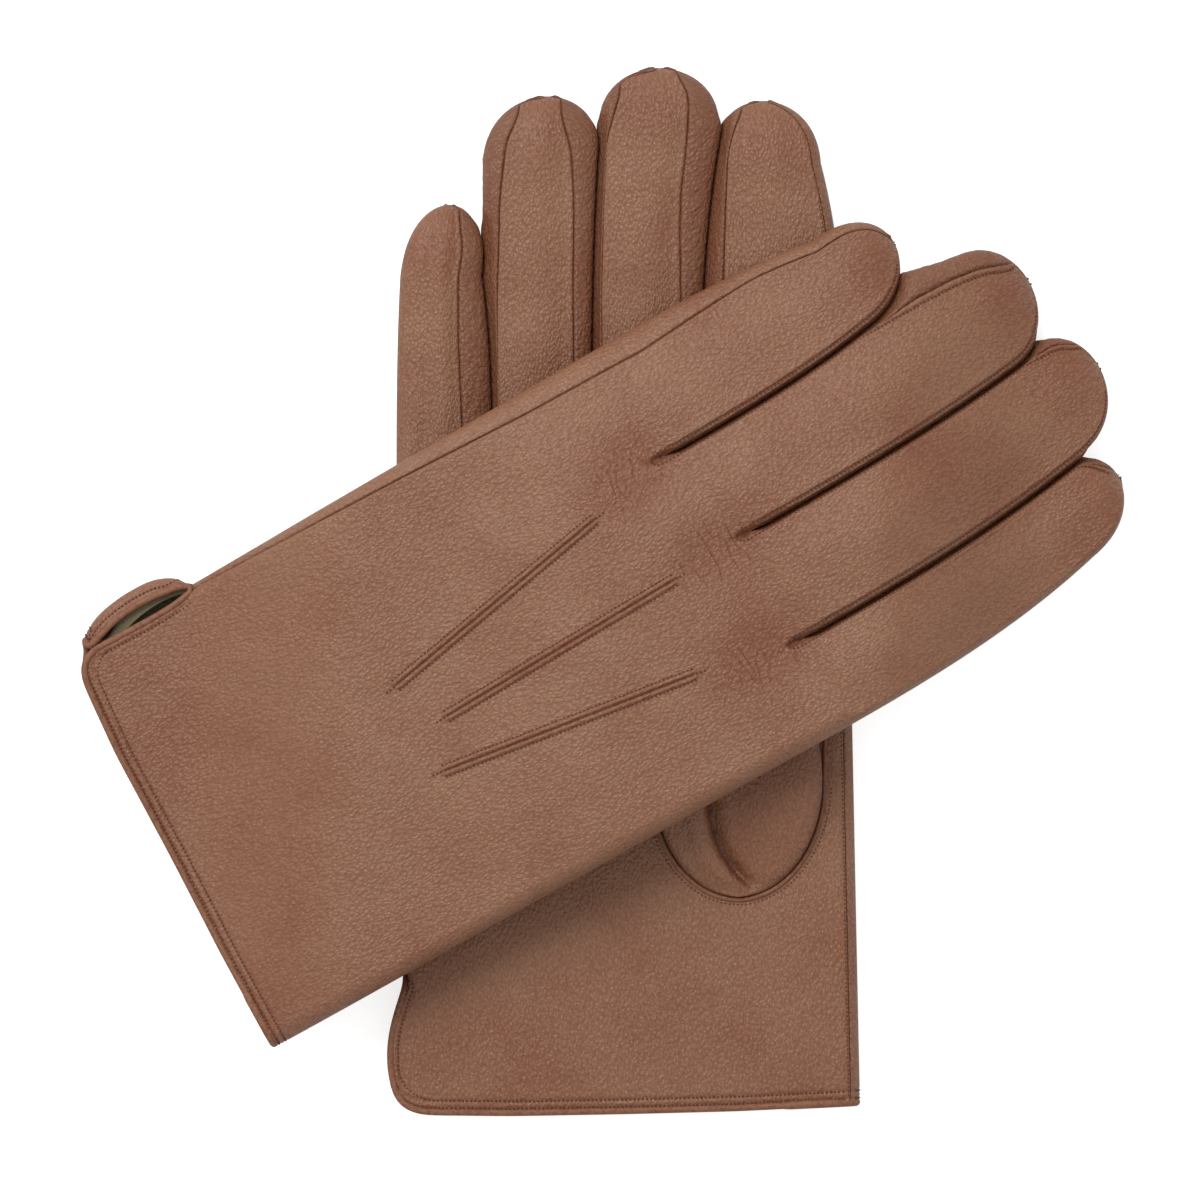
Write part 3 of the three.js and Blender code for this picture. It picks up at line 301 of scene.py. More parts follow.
def drape(x, y):
    """How high the upper glove lies over the table at a place, in the pair's own frame."""
    over_glove = RIGHT_GLOVE_TOP * plateau(GLOVE_REST, x)
    over_thumb = THUMB_LAYER * plateau(THUMB_REST[0], x) * plateau(THUMB_REST[1], y)
    return over_glove + over_thumb + THUMB_LAYER * plateau(CROSSING_REST[0], x) * plateau(CROSSING_REST[1], y)


def ripple(x, y, seed, wave, count=7):
    """A soft unevenness from -1 to 1, of about that wavelength."""
    dice = np.random.default_rng(seed)
    total = np.zeros_like(x + y)
    for _ in range(count):
        angle, phase = dice.uniform(0, 2 * math.pi, 2)
        rate = 2 * math.pi / (wave * dice.uniform(0.6, 1.5))
        total = total + np.sin(rate * (x * math.cos(angle) + y * math.sin(angle)) + phase)
    return total / count * 1.6


def cap_scale(share):
    return np.sqrt(np.clip(1 - np.clip(share, 0, 1) ** CAP_POWER, 0, 1))


class Glove:
    """One glove's outline and surfaces in its own millimetres, z up from its underside."""

    def __init__(self, lay):
        self.lay = lay
        self.side = lay["side"]
        self.palm_up = lay["palm_up"]
        across = lambda key: [share * HAND_HALF_WIDTH for share in lay[key]]
        self.roots, self.cuffs, self.tips = across("roots"), across("cuffs"), across("tips")
        self.shoulder_left, self.shoulder_right = across("shoulder_left"), across("shoulder_right")
        self.swells = across("swells")
        self.root_along = [share * CUFF_TO_ROOTS for share in lay["root_along"]]
        self.ends = [CUFF_TO_ROOTS + length * reach for length, reach in zip(FINGER_LENGTHS, lay["reach"])]
        self.shoulders = [end - cap for end, cap in zip(self.ends, FINGER_CAPS)]
        self.creases = lay["creases"]

    def hem(self, x):
        rises = self.lay["hem_rises"]
        return np.interp(x, np.linspace(-HAND_HALF_WIDTH, HAND_HALF_WIDTH, len(rises)), rises)

    def cuff_line(self, x, is_back):
        """The hem's line, with the round corner beside the vent."""
        radius = self.lay["corner_radius"]
        into = np.clip((self.lay["corner_edges"][is_back] + radius - x) / radius, 0, 1)
        rise = radius * (1 - np.sqrt(1 - into ** 2))
        return HEM_INSET + self.hem(x) + np.minimum(rise, self.lay["corner_rises"][is_back])

    def corner_top(self, is_back):
        return HEM_INSET + self.hem(self.cuffs[0]) + self.lay["corner_rises"][is_back]

    def own_side(self, k, side, along):
        """Finger k's side with nothing beside it: up from its root, then round its tip."""
        root, shoulder = self.root_along[k if side < 0 else k + 1], self.shoulders[k]
        left, right = self.shoulder_left[k], self.shoulder_right[k]
        last = left if side < 0 else right
        first = self.roots[k + 1] if side > 0 else (self.roots[0] if k == 0 else left)
        share = np.clip((along - root) / (shoulder - root), 0, 1)
        cap = np.clip((along - shoulder) / FINGER_CAPS[k], 0, 1)
        curved = lerp((left + right) / 2, self.tips[k], cap) + side * (right - left) / 2 * cap_scale(cap)
        return np.where(along <= shoulder, lerp(first, last, share ** EDGE_POWER), curved)

    def right_edge(self, k, along):
        return self.own_side(k, 1, along) - (FINGER_GAP / 2 if k < 3 else 0)

    def side_at_vent(self, is_back, y):
        """The little finger's side of one leaf, where the vent has opened the two apart."""
        leaf = self.lay["back_leaf" if is_back else "palm_leaf"](y)
        return lerp(self.boundary(0, y), leaf, 1 - smooth(*LEAVES_PART, y))

    def left_edge(self, k, along):
        """A finger lies against the one before it, and swells out a little round that one's tip."""
        free = self.own_side(k, -1, along)
        if k == 0:
            return free
        tip = self.ends[k - 1]
        swell = self.swells[k] * (1 - smooth(tip - SWELL_BEFORE, tip + SWELL_AFTER, along))
        free = free + FINGER_GAP / 2 - swell
        beside = self.right_edge(k - 1, along) + FINGER_GAP
        held = along <= min(self.shoulders[k - 1], self.shoulders[k])
        return np.where(held, beside, np.where(along < tip, np.maximum(free, beside), free))

    def gap_beside(self, k, side, along):
        """How wide the gap to the next finger is on one side."""
        other = k + 1 if side > 0 else k - 1
        if other < 0 or other > 3:
            return np.full_like(along, NO_NEIGHBOUR)
        gap = self.left_edge(max(k, other), along) - self.right_edge(min(k, other), along)
        return np.where(along < self.ends[other], gap, NO_NEIGHBOUR)

    def boundary(self, j, along):
        """The line between strips j - 1 and j on the hand, and on past the crotch."""
        share = np.clip(along / self.root_along[j], 0, 1)
        on_hand = lerp(self.cuffs[j], self.roots[j], share)
        if j == 0:
            return np.where(along > self.root_along[0], self.left_edge(0, along), on_hand)
        if j == 4:
            return np.where(along > self.root_along[4], self.right_edge(3, along), on_hand)
        between = (self.right_edge(j - 1, along) + self.left_edge(j, along)) / 2
        return np.where(along > self.root_along[j], between, on_hand)

    def faces_up(self, is_back):
        return is_back != self.palm_up

    def face(self, is_back):
        """1 where the back or the palm faces up, -1 where it faces the table."""
        return 1 if self.faces_up(is_back) else -1

    def back_inset(self, k, side, along):
        """How far the back's edge lies in from the finger's side."""
        if k == 0 and side < 0:
            return self.lay["outer_seam"](along)
        rolled = self.lay["lap_left"].get(k) if side < 0 else None
        if rolled is None:
            return np.full_like(along, LAP_INSET)
        wanted = rolled(along) - LAP_STITCH - self.left_edge(k, along)
        return lerp(LAP_INSET, np.maximum(wanted, LAP_INSET), smooth(178, 196, along))

    def palm_inset(self, k, side, along):
        """How far the palm's edge lies in from the finger's side."""
        if k == 3 and side > 0:
            return np.full_like(along, INDEX_SEAM_INSET)
        seam = self.lay["palm_left" if side < 0 else "palm_right"].get(k)
        if seam is None:
            wanted = np.full_like(along, HIDDEN_INSEAM)
        else:
            edge = self.left_edge(k, along) if side < 0 else self.right_edge(k, along)
            wanted = np.maximum(np.abs(seam(along) - edge), 1.0)
        root = self.root_along[k if side < 0 else k + 1]
        return lerp(LAP_INSET, wanted, smooth(root, root + SEAM_SPREAD, along))

    def height_wave(self, x, y):
        """The crown that a worn hand leaves in the leather, from 0 to 1."""
        rise = smooth(CROWN_START, CROWN_START + CROWN_RISE, y)
        swell = np.clip(1 - (x / HAND_HALF_WIDTH) ** 2, 0, 1)
        return swell * rise * (1 - smooth(CUFF_TO_ROOTS - CROWN_RISE / 2, CUFF_TO_ROOTS, y))


class Tube:
    """A flattened tube's section at each of many places: w runs round it from the middle of one face."""

    def __init__(self, centre, left, right, radius, roll_left, roll_right, middle):
        self.centre = centre
        self.halves = (np.maximum(centre - left, 0.02), np.maximum(right - centre, 0.02))
        pairs = zip((roll_left, roll_right), self.halves)
        self.rolls = [np.minimum(roll, WIDEST_ROLL * half) for roll, half in pairs]
        self.radius = radius
        self.middle = middle

    def parts(self, side):
        """The half width, the side roll, the flat part and the arc round the side, on one side."""
        half = np.where(np.asarray(side) < 0, *self.halves)
        roll = np.where(np.asarray(side) < 0, *self.rolls)
        return half, roll, half - roll, math.pi / 2 * (roll + self.radius)

    def arc_at(self, inset, side):
        """The arc from a face's middle to the place that lies that far in from the side."""
        half, roll, flat, turn = self.parts(side)
        inset = np.clip(inset, 0, 0.8 * half)
        angle = np.arcsin(np.clip(1 - inset / roll, 0, 1))
        return np.where(inset >= roll, half - inset, flat + turn * angle / math.pi)

    def round_to(self, arc, side):
        """The same place's arc, counted from the other face's middle."""
        _, _, flat, turn = self.parts(side)
        return 2 * flat + turn - arc

    def point(self, face, w, inset=0.0):
        """Across, height and outward direction at w on a face: +1 is the upper one."""
        side, far = np.sign(w), np.abs(w)
        _, roll, flat, turn = self.parts(side)
        angle = np.clip((far - flat) / turn, 0, 1) * math.pi
        past = np.maximum(far - flat - turn, 0)
        roll, radius = np.maximum(roll - inset, 0.01), np.maximum(self.radius - inset, 0.01)
        x = np.where(far <= flat, far, flat + roll * np.sin(angle) - past)
        z = self.middle + face * radius * np.cos(angle)
        nx, nz = np.sin(angle) / roll, np.cos(angle) / radius
        size = np.sqrt(nx * nx + nz * nz)
        return self.centre + side * x, z, side * nx / size, face * nz / size, np.cos(angle)


def vent_open(y):
    """1 inside the vent, 0 past its top."""
    return 1 - smooth(*VENT_TOP, y)


def hand_tube(glove, y, is_back):
    left, right = glove.boundary(0, y), glove.boundary(4, y)
    radius = lerp(CUFF_RADIUS, HAND_RADIUS, smooth(0, CUFF_TAPER, y))
    if not is_back and not glove.palm_up:
        radius = radius - VENT_TUCK * vent_open(y)
    flat_leaf = 1 - smooth(*LEAVES_PART, y) if glove.faces_up(is_back) else 0 * y
    roll = np.clip(glove.lay["outer_seam"](y) + HAND_ROLL[0], SIDE_ROLL, HAND_ROLL[1])
    roll = lerp(roll, LEAF_ROLL, flat_leaf)
    return Tube((left + right) / 2, glove.side_at_vent(is_back, y), right, radius, roll, SIDE_ROLL, radius)


def finger_tube(glove, k, y, cap):
    radius = FINGER_RADIUS * np.sqrt(np.clip(1 - cap ** EDGE_POWER, 0, 1))
    left, right = glove.left_edge(k, y), glove.right_edge(k, y)
    seam = glove.palm_inset if glove.palm_up else glove.back_inset
    rolls = [np.clip(seam(k, side, y) + FINGER_ROLL[0], FINGER_SIDE_ROLL, FINGER_ROLL[1]) for side in (-1, 1)]
    return Tube((left + right) / 2, left, right, radius, rolls[0], rolls[1], (FINGER_RADIUS + radius) / 2)


def spot(x, y, centre, reach):
    """A soft round spot: 1 at its centre, fading over its reach across and along."""
    return np.exp(-((x - centre[0]) / reach[0]) ** 2 - ((y - centre[1]) / reach[1]) ** 2)


def crotch_drop(glove, x, y):
    """How far the leather sinks towards each crotch, and the wear and painted shade beside the nearest one."""
    drop, near = np.zeros_like(x), np.zeros_like(x)
    for j in (1, 2, 3):
        across, root = glove.roots[j], glove.root_along[j]
        away = np.abs(x - glove.boundary(j, y))
        angle = np.arcsin(np.clip(1 - away / FINGER_SIDE_ROLL, 0, VALLEY_SLOPE))
        drop += smooth(root - VALLEY_LENGTH, root, y) * HAND_RADIUS * (1 - np.cos(angle))
        drop += CROTCH_DIMPLE * spot(x, y, (across, root - DIMPLE_BEFORE), DIMPLE_REACH)
        # The patch below each crotch is both wear and painted shade for its dimple and creases.
        near = np.maximum(near, spot(x, y, (across, root - WEAR_AND_SHADE_BEFORE), WEAR_AND_SHADE_REACH))
    return drop, near


def swell_at(glove, face, x, y):
    """What the crown, the crotches and the leather's unevenness add to a face of the hand."""
    drop, near = crotch_drop(glove, x, y)
    wave = glove.height_wave(x, y)
    if face < 0:
        return (REST_HOLLOW if glove.palm_up else HIDDEN_HOLLOW) * wave + drop, near
    inner = smooth(0, EVEN_SIDE, HAND_HALF_WIDTH - np.abs(x)) * smooth(*EVEN_HEM, y)
    uneven = sum(high * ripple(x, y, seeds[glove.palm_up], long) for high, long, seeds in HAND_UNEVEN)
    return CROWN_SHOWN * HAND_CROWN * wave - drop + inner * uneven, near


def hand_point(glove, face, w, y):
    is_back = glove.faces_up(True) == (face > 0)
    tube = hand_tube(glove, y, is_back)
    x, z, nx, nz, level = tube.point(face, w - tube.centre)
    extra, near = swell_at(glove, face, x, y)
    on_face = smooth(0.2, 1.0, level)
    return x, z + extra * on_face, nx, nz, near * on_face


def finger_point(glove, k, face, w, y, cap):
    """A place on finger k: its w counts from the finger's own middle."""
    tube = finger_tube(glove, k, y, cap)
    x, z, nx, nz, level = tube.point(face, w)
    on_face = np.clip(level, 0, 1)
    half, _, flat, _ = tube.parts(np.sign(w))
    share = np.clip(np.abs(w) / np.maximum(flat, 0.1), 0, 1)
    crown = FINGER_CROWN * (1 - share ** 2) ** 2 * (1 - cap ** 2)
    high, long, seeds = FINGER_UNEVEN
    uneven = high * ripple(x, y, seeds[glove.palm_up] + k, long) * (1 - cap)
    uneven = uneven * smooth(0, 3, half - np.abs(x - tube.centre))
    top = crown + uneven if face > 0 else 0.0
    # Where two fingers touch, both sides lean the same way, so that no light passes between them.
    close = [1 - smooth(FINGER_GAP + 0.3, FINGER_GAP + 2.5, glove.gap_beside(k, side, y)) for side in (-1, 1)]
    lean = np.where(w < 0, *close) * SIDE_LEAN * np.sin(math.pi * face * level) * tube.radius / FINGER_RADIUS
    return x + lean, z + top * on_face, nx, nz


def strip_end(glove, tube, k, is_back, side, along):
    """The arc at which a panel's strip ends on one side, from the middle of the panel's own face."""
    if k == 0 and side < 0 and not is_back:
        return tube.round_to(tube.arc_at(glove.back_inset(0, -1, along), -1), -1)
    if k == 3 and side > 0 and is_back:
        return tube.round_to(tube.arc_at(glove.palm_inset(3, 1, along), 1), 1)
    inset = (glove.back_inset if is_back else glove.palm_inset)(k, side, along)
    return tube.arc_at(inset, side)


def hand_ends(glove, is_back, y):
    """Where the whole panel ends at the little finger's side and at the index finger's, in hand arcs."""
    tube = hand_tube(glove, y, is_back)
    left = tube.centre - strip_end(glove, tube, 0, is_back, -1, y)
    right = tube.centre + strip_end(glove, tube, 3, is_back, 1, y)
    if glove.faces_up(is_back) or is_back:
        arc = tube.arc_at(VENT_INSETS[glove.faces_up(is_back)], -1)
    else:
        arc = tube.round_to(tube.arc_at(VENT_WRAP, -1), -1)
    return lerp(left, tube.centre - arc, vent_open(y)), right


def spread(width, fine_at, coarse, fine=FINE):
    """Shares from 0 to 1 across a width, close together near the places in fine_at."""
    at = np.linspace(0, width, 600)
    away = np.min([np.abs(at - place) for place in fine_at], axis=0) if fine_at else np.full_like(at, 1e3)
    size = np.clip(fine + (away - 2.2) * 0.3, fine, coarse)
    total = np.concatenate([[0], np.cumsum((1 / size[:-1] + 1 / size[1:]) / 2 * np.diff(at))])
    count = max(int(math.ceil(total[-1])), 2)
    return np.interp(np.linspace(0, total[-1], count + 1), total, at) / width


def to_row(glove, x, y, z):
    """A glove's own millimetres, laid on the table, in metres."""
    if glove.side == "right":
        placed_x, placed_y, lift = RIGHT_CUFF[0] + x, RIGHT_CUFF[1] + y, 0
    else:
        placed_x = LEFT_CUFF[0] + x * math.cos(LEFT_TURN) + y * math.sin(LEFT_TURN)
        placed_y = LEFT_CUFF[1] - x * math.sin(LEFT_TURN) + y * math.cos(LEFT_TURN)
        lift = drape(placed_x, placed_y)
    return np.stack([placed_x + SHIFT_X, placed_y + SHIFT_Y, z + lift], -1) * MM


def edge_shape(e, kind):
    """A sewn edge's section at a distance e from it: how far it sinks, and how much painted shade it gets."""
    sink, painted_dark = 0 * e, 0 * e
    for place, width, deep, shade in GROOVES[kind]:
        groove = np.exp(-((e - place) / width) ** 2)
        sink, painted_dark = sink + deep * groove, painted_dark + shade * groove
    if kind == "seam":
        into = np.clip(1 - e / INSEAM_ROLL, 0, 1)
        sink = sink + INSEAM_ROLL * (1 - np.sqrt(1 - into ** 2))
    return sink, painted_dark


def show(name, data):
    made = bpy.data.objects.new(name, data)
    bpy.context.scene.collection.objects.link(made)
    return made


def final_mesh(shown):
    """The mesh of an object with its modifiers or its bevel worked in."""
    bpy.context.view_layer.update()
    return bpy.data.meshes.new_from_object(shown.evaluated_get(bpy.context.evaluated_depsgraph_get()))


def woven(name, sheets, wall=LEATHER, cut=None):
    """One piece from sheets, each a grid of vertices put in place, that are then sewn where they meet."""
    mesh = bpy.data.meshes.new(name)
    bm = bmesh.new()
    spans = []
    for columns, rows, _ in sheets:
        first = len(bm.verts)
        bmesh.ops.create_grid(bm, x_segments=len(columns) - 1, y_segments=len(rows) - 1, size=0.5)
        spans.append((first, len(bm.verts)))
    bm.verts.index_update()
    flat = np.array([v.co[:2] for v in bm.verts])
    bm.to_mesh(mesh)
    bm.free()
    count = len(flat)
    place, pattern, marks = np.zeros((count, 3)), np.zeros((count, 2)), np.zeros((count, 2))
    for (columns, rows, put), (first, last) in zip(sheets, spans):
        i = np.rint((flat[first:last, 0] + 0.5) * (len(columns) - 1)).astype(int)
        j = np.rint((flat[first:last, 1] + 0.5) * (len(rows) - 1)).astype(int)
        place[first:last], pattern[first:last], marks[first:last] = put(i, j)
    mesh.vertices.foreach_set("co", place.ravel())
    for mark, column in (("painted_shade", 0), ("wear_and_shade", 1)):
        mesh.attributes.new(mark, "FLOAT", "POINT").data.foreach_set("value", marks[:, column])
    corners = np.zeros(len(mesh.loops), int)
    mesh.loops.foreach_get("vertex_index", corners)
    mesh.uv_layers.new(name="skin").data.foreach_set("uv", pattern[corners].ravel())
    bm = bmesh.new()
    bm.from_mesh(mesh)
    if cut is not None:
        bm.verts.ensure_lookup_table()
        bmesh.ops.delete(bm, geom=[bm.verts[i] for i in np.flatnonzero(cut(pattern))], context="VERTS")
    bmesh.ops.remove_doubles(bm, verts=bm.verts, dist=0.02 * MM)
    bm.to_mesh(mesh)
    bm.free()
    mesh.shade_smooth()
    piece = show(name, mesh)
    if wall:
        solid = piece.modifiers.new("wall", "SOLIDIFY")
        solid.thickness = wall * MM
        solid.offset = -1
        solid.use_even_offset = False
        made = final_mesh(piece)
        piece.modifiers.clear()
        piece.data = made
        made.set_sharp_from_angle(angle=SHARP_ANGLE)
    return piece


def finish_points(glove, x, y, z, nx, nz, sink, pattern_x, painted_shade=0.0, wear_and_shade=0.0):
    """Points sunk into the leather and laid on the table, with their places in the skin and their marks:
    painted shade, and wear with painted shade.
    """
    x, z = x - nx * sink, z - nz * sink
    marks = np.stack([np.clip(painted_shade + 0 * x, -0.3, 1), np.clip(wear_and_shade + 0 * x, 0, 1)], -1)
    return to_row(glove, x, y, z), np.stack([pattern_x, y], -1), marks


def hand_rows(coarse):
    """Shares from the cuff to the root line: close together at the hem."""
    return spread(CUFF_TO_ROOTS, [0.0, CUFF_ROWS[1], CUFF_TO_ROOTS], coarse, 0.35)


def panel_columns(k, is_back, coarse):
    """Column shares across a strip, close together at both of its seams."""
    width = 26.0 if 0 < k < 3 else (42.0 if (k == 0) != is_back else 26.0)
    return spread(width, [0.0, width], coarse)


def hand_sheet(glove, k, is_back, coarse):
    """Strip k of a hand panel: from the cuff to the finger's root, and on to where the finger folds."""
    face = glove.face(is_back)
    columns = panel_columns(k, is_back, coarse)
    if face < 0:
        columns = 1 - columns[::-1]
    shares = hand_rows(coarse)
    longest = glove.creases[k] - min(glove.root_along[k], glove.root_along[k + 1])
    steps = spread(longest, [0.0], coarse, 0.5)[1:]
    on_hand = len(shares)

    def put(i, j):
        c = columns[i] if face > 0 else 1 - columns[i]
        past = j >= on_hand
        share = np.where(past, 1, shares[np.minimum(j, on_hand - 1)])
        step = np.where(past, steps[np.clip(j - on_hand, 0, len(steps) - 1)], 0)
        hems = [glove.cuff_line(np.asarray(glove.cuffs[b], float), is_back) for b in (k, k + 1)]
        y_left, y_right = (lerp(lerp(hem, glove.root_along[b], share), glove.creases[k], step)
                           for hem, b in zip(hems, (k, k + 1)))
        y = lerp(y_left, y_right, c)
        panel_left, panel_right = hand_ends(glove, is_back, y)
        start = panel_left if k == 0 else glove.boundary(k, y_left)
        end = panel_right if k == 3 else glove.boundary(k + 1, y_right)
        w = lerp(start, end, c)
        y = y + (glove.cuff_line(w, is_back) - lerp(hems[0], hems[1], c)) * (1 - share) ** 2
        on_palm = hand_point(glove, face, w, y)
        tube = finger_tube(glove, k, y, np.zeros_like(y))
        own_left = -strip_end(glove, tube, k, is_back, -1, y)
        own_right = strip_end(glove, tube, k, is_back, 1, y)
        own = lerp(own_left, own_right, c)
        root = lerp(glove.root_along[k], glove.root_along[k + 1], c)
        weight = np.where(past, smooth(0, SLIT_OPENING, y - root), 0)
        on_finger = finger_point(glove, k, face, own, y, np.zeros_like(y))
        x, z, nx, nz = (lerp(a, b, weight) for a, b in zip(on_palm, on_finger))
        # Painted shade along the seams and along the hem's stitch rows.
        sink, painted_dark = seam_marks(k, is_back, y, (w, start, end), (own, own_left, own_right), weight)
        hem_sink, hem_painted_dark = edge_shape(y - glove.cuff_line(w, is_back), "hem")
        sink, painted_dark = np.maximum(sink, hem_sink), np.maximum(painted_dark, hem_painted_dark)
        # Towards the cuff the leather is redder and darker: wear, and painted shade for the dimmer light there.
        wear_and_shade = on_palm[4] + CUFF_WEAR_AND_SHADE * (1 - smooth(*CUFF_WEAR_AND_SHADE_ENDS, y))
        return finish_points(glove, x, y, z, nx, nz, sink, w, painted_dark, wear_and_shade)

    return columns, [*shares, *steps], put


def seam_marks(k, is_back, y, hand_line, finger_line, weight):
    """Sink and painted shade from the seams beside a strip. A line is a place and the strip's two ends."""
    sink, painted_dark = np.zeros_like(y), np.zeros_like(y)
    for side, end in ((-1, 1), (1, 2)):
        on_hand, on_finger = (np.abs(line[0] - line[end]) for line in (hand_line, finger_line))
        if is_outer(k, side):
            e = lerp(on_hand, on_finger, weight)
            opened = vent_open(y) if side < 0 else 0 * y
            shapes = [lerp(*pair, opened) for pair in zip(edge_shape(e, "seam"), edge_shape(e, "hem"))]
        else:
            on = np.clip(weight * 1.6, 0, 1)
            shapes = [on * shape for shape in edge_shape(on_finger, "lap" if is_back else "seam")]
        sink, painted_dark = sink + shapes[0], painted_dark + shapes[1]
    return sink, painted_dark


def hand_panel(glove, is_back):
    coarse = COARSE if glove.faces_up(is_back) else HIDDEN_COARSE
    sheets = [hand_sheet(glove, k, is_back, coarse) for k in range(4)]
    cut = None if is_back else in_thumb_hole
    return woven(f"{glove.side}_{'back' if is_back else 'palm'}_leather", sheets, cut=cut)


def in_thumb_hole(pattern):
    across = (pattern[:, 0] - THUMB_CENTRE) / THUMB_HOLE[0]
    along = (pattern[:, 1] - THUMB_SHOULDER) / THUMB_HOLE[1]
    return across ** 2 + along ** 2 < 1


def round_cap(start, length, count):
    """Places and shares that come closer together towards a round tip."""
    shares = np.sin(np.linspace(0, math.pi / 2, count)[1:])
    return start + length * shares, shares


def finger_rows(glove, k, coarse):
    """Places along finger k and their cap shares, from the fold to the tip."""
    start, shoulder = glove.creases[k], glove.shoulders[k]
    straight = start + spread(shoulder - start, [], coarse) * (shoulder - start)
    cap, shares = round_cap(shoulder, FINGER_CAPS[k], 24)
    return np.concatenate([straight, cap]), np.concatenate([0 * straight, shares])


def finger_sheet(glove, k, is_back, coarse):
    face = glove.face(is_back)
    columns = panel_columns(k, is_back, coarse)
    along, caps = finger_rows(glove, k, coarse)

    def put(i, j):
        c = columns[i] if face > 0 else 1 - columns[i]
        y, cap = along[j], caps[j]
        tube = finger_tube(glove, k, y, cap)
        own_left = -strip_end(glove, tube, k, is_back, -1, y)
        own_right = strip_end(glove, tube, k, is_back, 1, y)
        w = lerp(own_left, own_right, c)
        x, z, nx, nz = finger_point(glove, k, face, w, y, cap)
        line = (w, own_left, own_right)
        sink, painted_dark = seam_marks(k, is_back, y, line, line, np.ones_like(y))
        shrink = np.clip(tube.halves[0] / 4, 0, 1)
        before = glove.ends[k] - y
        wear_and_shade = sum(much * np.exp(-((before - place) / reach) ** 2) for much, place, reach in FINGER_WEAR)
        wear_and_shade = wear_and_shade * smooth(0, 12, y - glove.creases[k])
        return finish_points(glove, x, y, z, nx, nz, sink * shrink, tube.centre + w, painted_dark * shrink, wear_and_shade)

    return columns, along, put


def finger_panel(glove, k, is_back):
    coarse = COARSE if glove.faces_up(is_back) else HIDDEN_COARSE
    name = f"{glove.side}_{FINGERS[k]}_{'back' if is_back else 'palm'}_leather"
    return woven(name, [finger_sheet(glove, k, is_back, coarse)])


def side_strip(glove, k, side, along, caps, slit):
    """The strip between the back and the palm on one side of finger k."""
    back_face = glove.face(True)
    columns = spread(STRIP_WIDTH, [0.0, STRIP_WIDTH], STRIP_COARSE)
    flip = (side < 0) != (back_face < 0)
    at = k if side < 0 else k + 1

    def put(i, j):
        c = 1 - columns[i] if flip else columns[i]
        y, cap = along[j], caps[j]
        tube = finger_tube(glove, k, y, cap)
        shrink = np.clip(tube.halves[0] / 4, 0, 1)
        lap = tube.arc_at(glove.back_inset(k, side, y), side)
        seam = tube.round_to(tube.arc_at(glove.palm_inset(k, side, y), side), side)
        w = lerp(lap - STRIP_TUCK * shrink, seam, c)
        past_lap, to_seam = w - lap, seam - w
        tucked = (LEATHER + 0.1) * (1 - smooth(-0.1, 1.0, past_lap)) * np.maximum(shrink, 0.15)
        x, z, nx, nz = finger_point(glove, k, back_face, side * w, y, cap)
        sink, painted_dark = edge_shape(to_seam, "seam")
        # Painted shade: in the seam, under the back's lapped edge, and a little over the whole strip between
        # the fingers.
        painted_dark = (painted_dark + 0.6 * (1 - smooth(0.0, 0.7, past_lap)) + 0.2) * shrink
        creases = np.sin(y * 1.7 + 0.9 * w + 2.5 * np.sin(y * 0.31)) * np.sin(y * 0.53 - w)
        creases = creases * smooth(0.8, 2.5, to_seam) * smooth(1, 3, past_lap)
        if slit:
            x = lerp(glove.boundary(at, y), x, smooth(0, SLIT_OPENING, y - glove.root_along[at]))
        sink = (sink + 0.09 * creases) * shrink + tucked
        return finish_points(glove, x, y, z, nx, nz, sink, side * w + tube.centre, painted_dark, 0.5)

    return columns, along, put


def finger_fourchette(glove, k):
    along, caps = finger_rows(glove, k, STRIP_COARSE)
    sheets = [side_strip(glove, k, side, along, caps, False) for side in inner_sides(k)]
    return woven(f"{glove.side}_{FINGERS[k]}_side_strip", sheets, STRIP_WALL)


def crotch_fourchette(glove, j):
    """The side strips of fingers j and j + 1 from their folds down to the crotch between them."""
    sheets = []
    for k, side in ((j, 1), (j + 1, -1)):
        root = glove.root_along[j + 1]
        length = glove.creases[k] - root
        along = root + spread(length, [0.0], STRIP_COARSE, 0.5) * length
        sheets.append(side_strip(glove, k, side, along, 0 * along, True))
    return woven(f"{glove.side}_{FINGERS[j]}_{FINGERS[j + 1]}_crotch_strip", sheets, STRIP_WALL)


def hand_lining(glove):
    """The lining follows the back, turns round the index side, and follows the palm to the vent."""
    columns, rows = np.linspace(0, 1, 151), spread(LINING_LENGTH, [0.0], 2.0, 0.8)
    up = glove.face(True)

    def put(i, j):
        y = HEM_INSET + LINING_HEM + rows[j] * LINING_LENGTH
        back, palm = (hand_tube(glove, y, is_back) for is_back in (True, False))
        ends = [back.centre - hand_ends(glove, is_back, y)[0] for is_back in (True, False)]
        _, _, flat, turn = back.parts(1)
        half_way = 2 * flat + turn
        shown = 0.0 if glove.palm_up else LINING_SHOWN * vent_open(y)
        run = lerp(0.8 - ends[0], half_way + ends[1] - 0.8 + shown, columns[i])
        on_back = run < half_way
        parts = (back.point(up, np.minimum(run, half_way), LINING_INSET),
                 palm.point(-up, np.minimum(half_way - run, 0), LINING_INSET))
        x, z, nx, nz, level = (np.where(on_back, a, b) for a, b in zip(*parts))
        rises = level * np.where(on_back, up, -up)
        above, below = swell_at(glove, 1, x, y)[0], swell_at(glove, -1, x, y)[0]
        z = z + np.where(rises > 0, above, below) * smooth(0.2, 1, np.abs(rises))
        limits = [np.max([glove.side_at_vent(is_back, y + step) for step in (-2.5, 0, 2.5)], 0)
                  for is_back in (True, False)]
        x = np.maximum(x, np.where(on_back, *limits) + 1.3)
        hem = np.where(on_back, *(glove.cuff_line(x - 1.2, is_back) for is_back in (True, False)))
        y = y + (hem - HEM_INSET) * (1 - rows[j]) ** 3
        return finish_points(glove, x, y, z, nx, nz, 0, run)

    return woven(f"{glove.side}_hand_lining_cloth", [(columns, rows, put)], LINING_WALL)


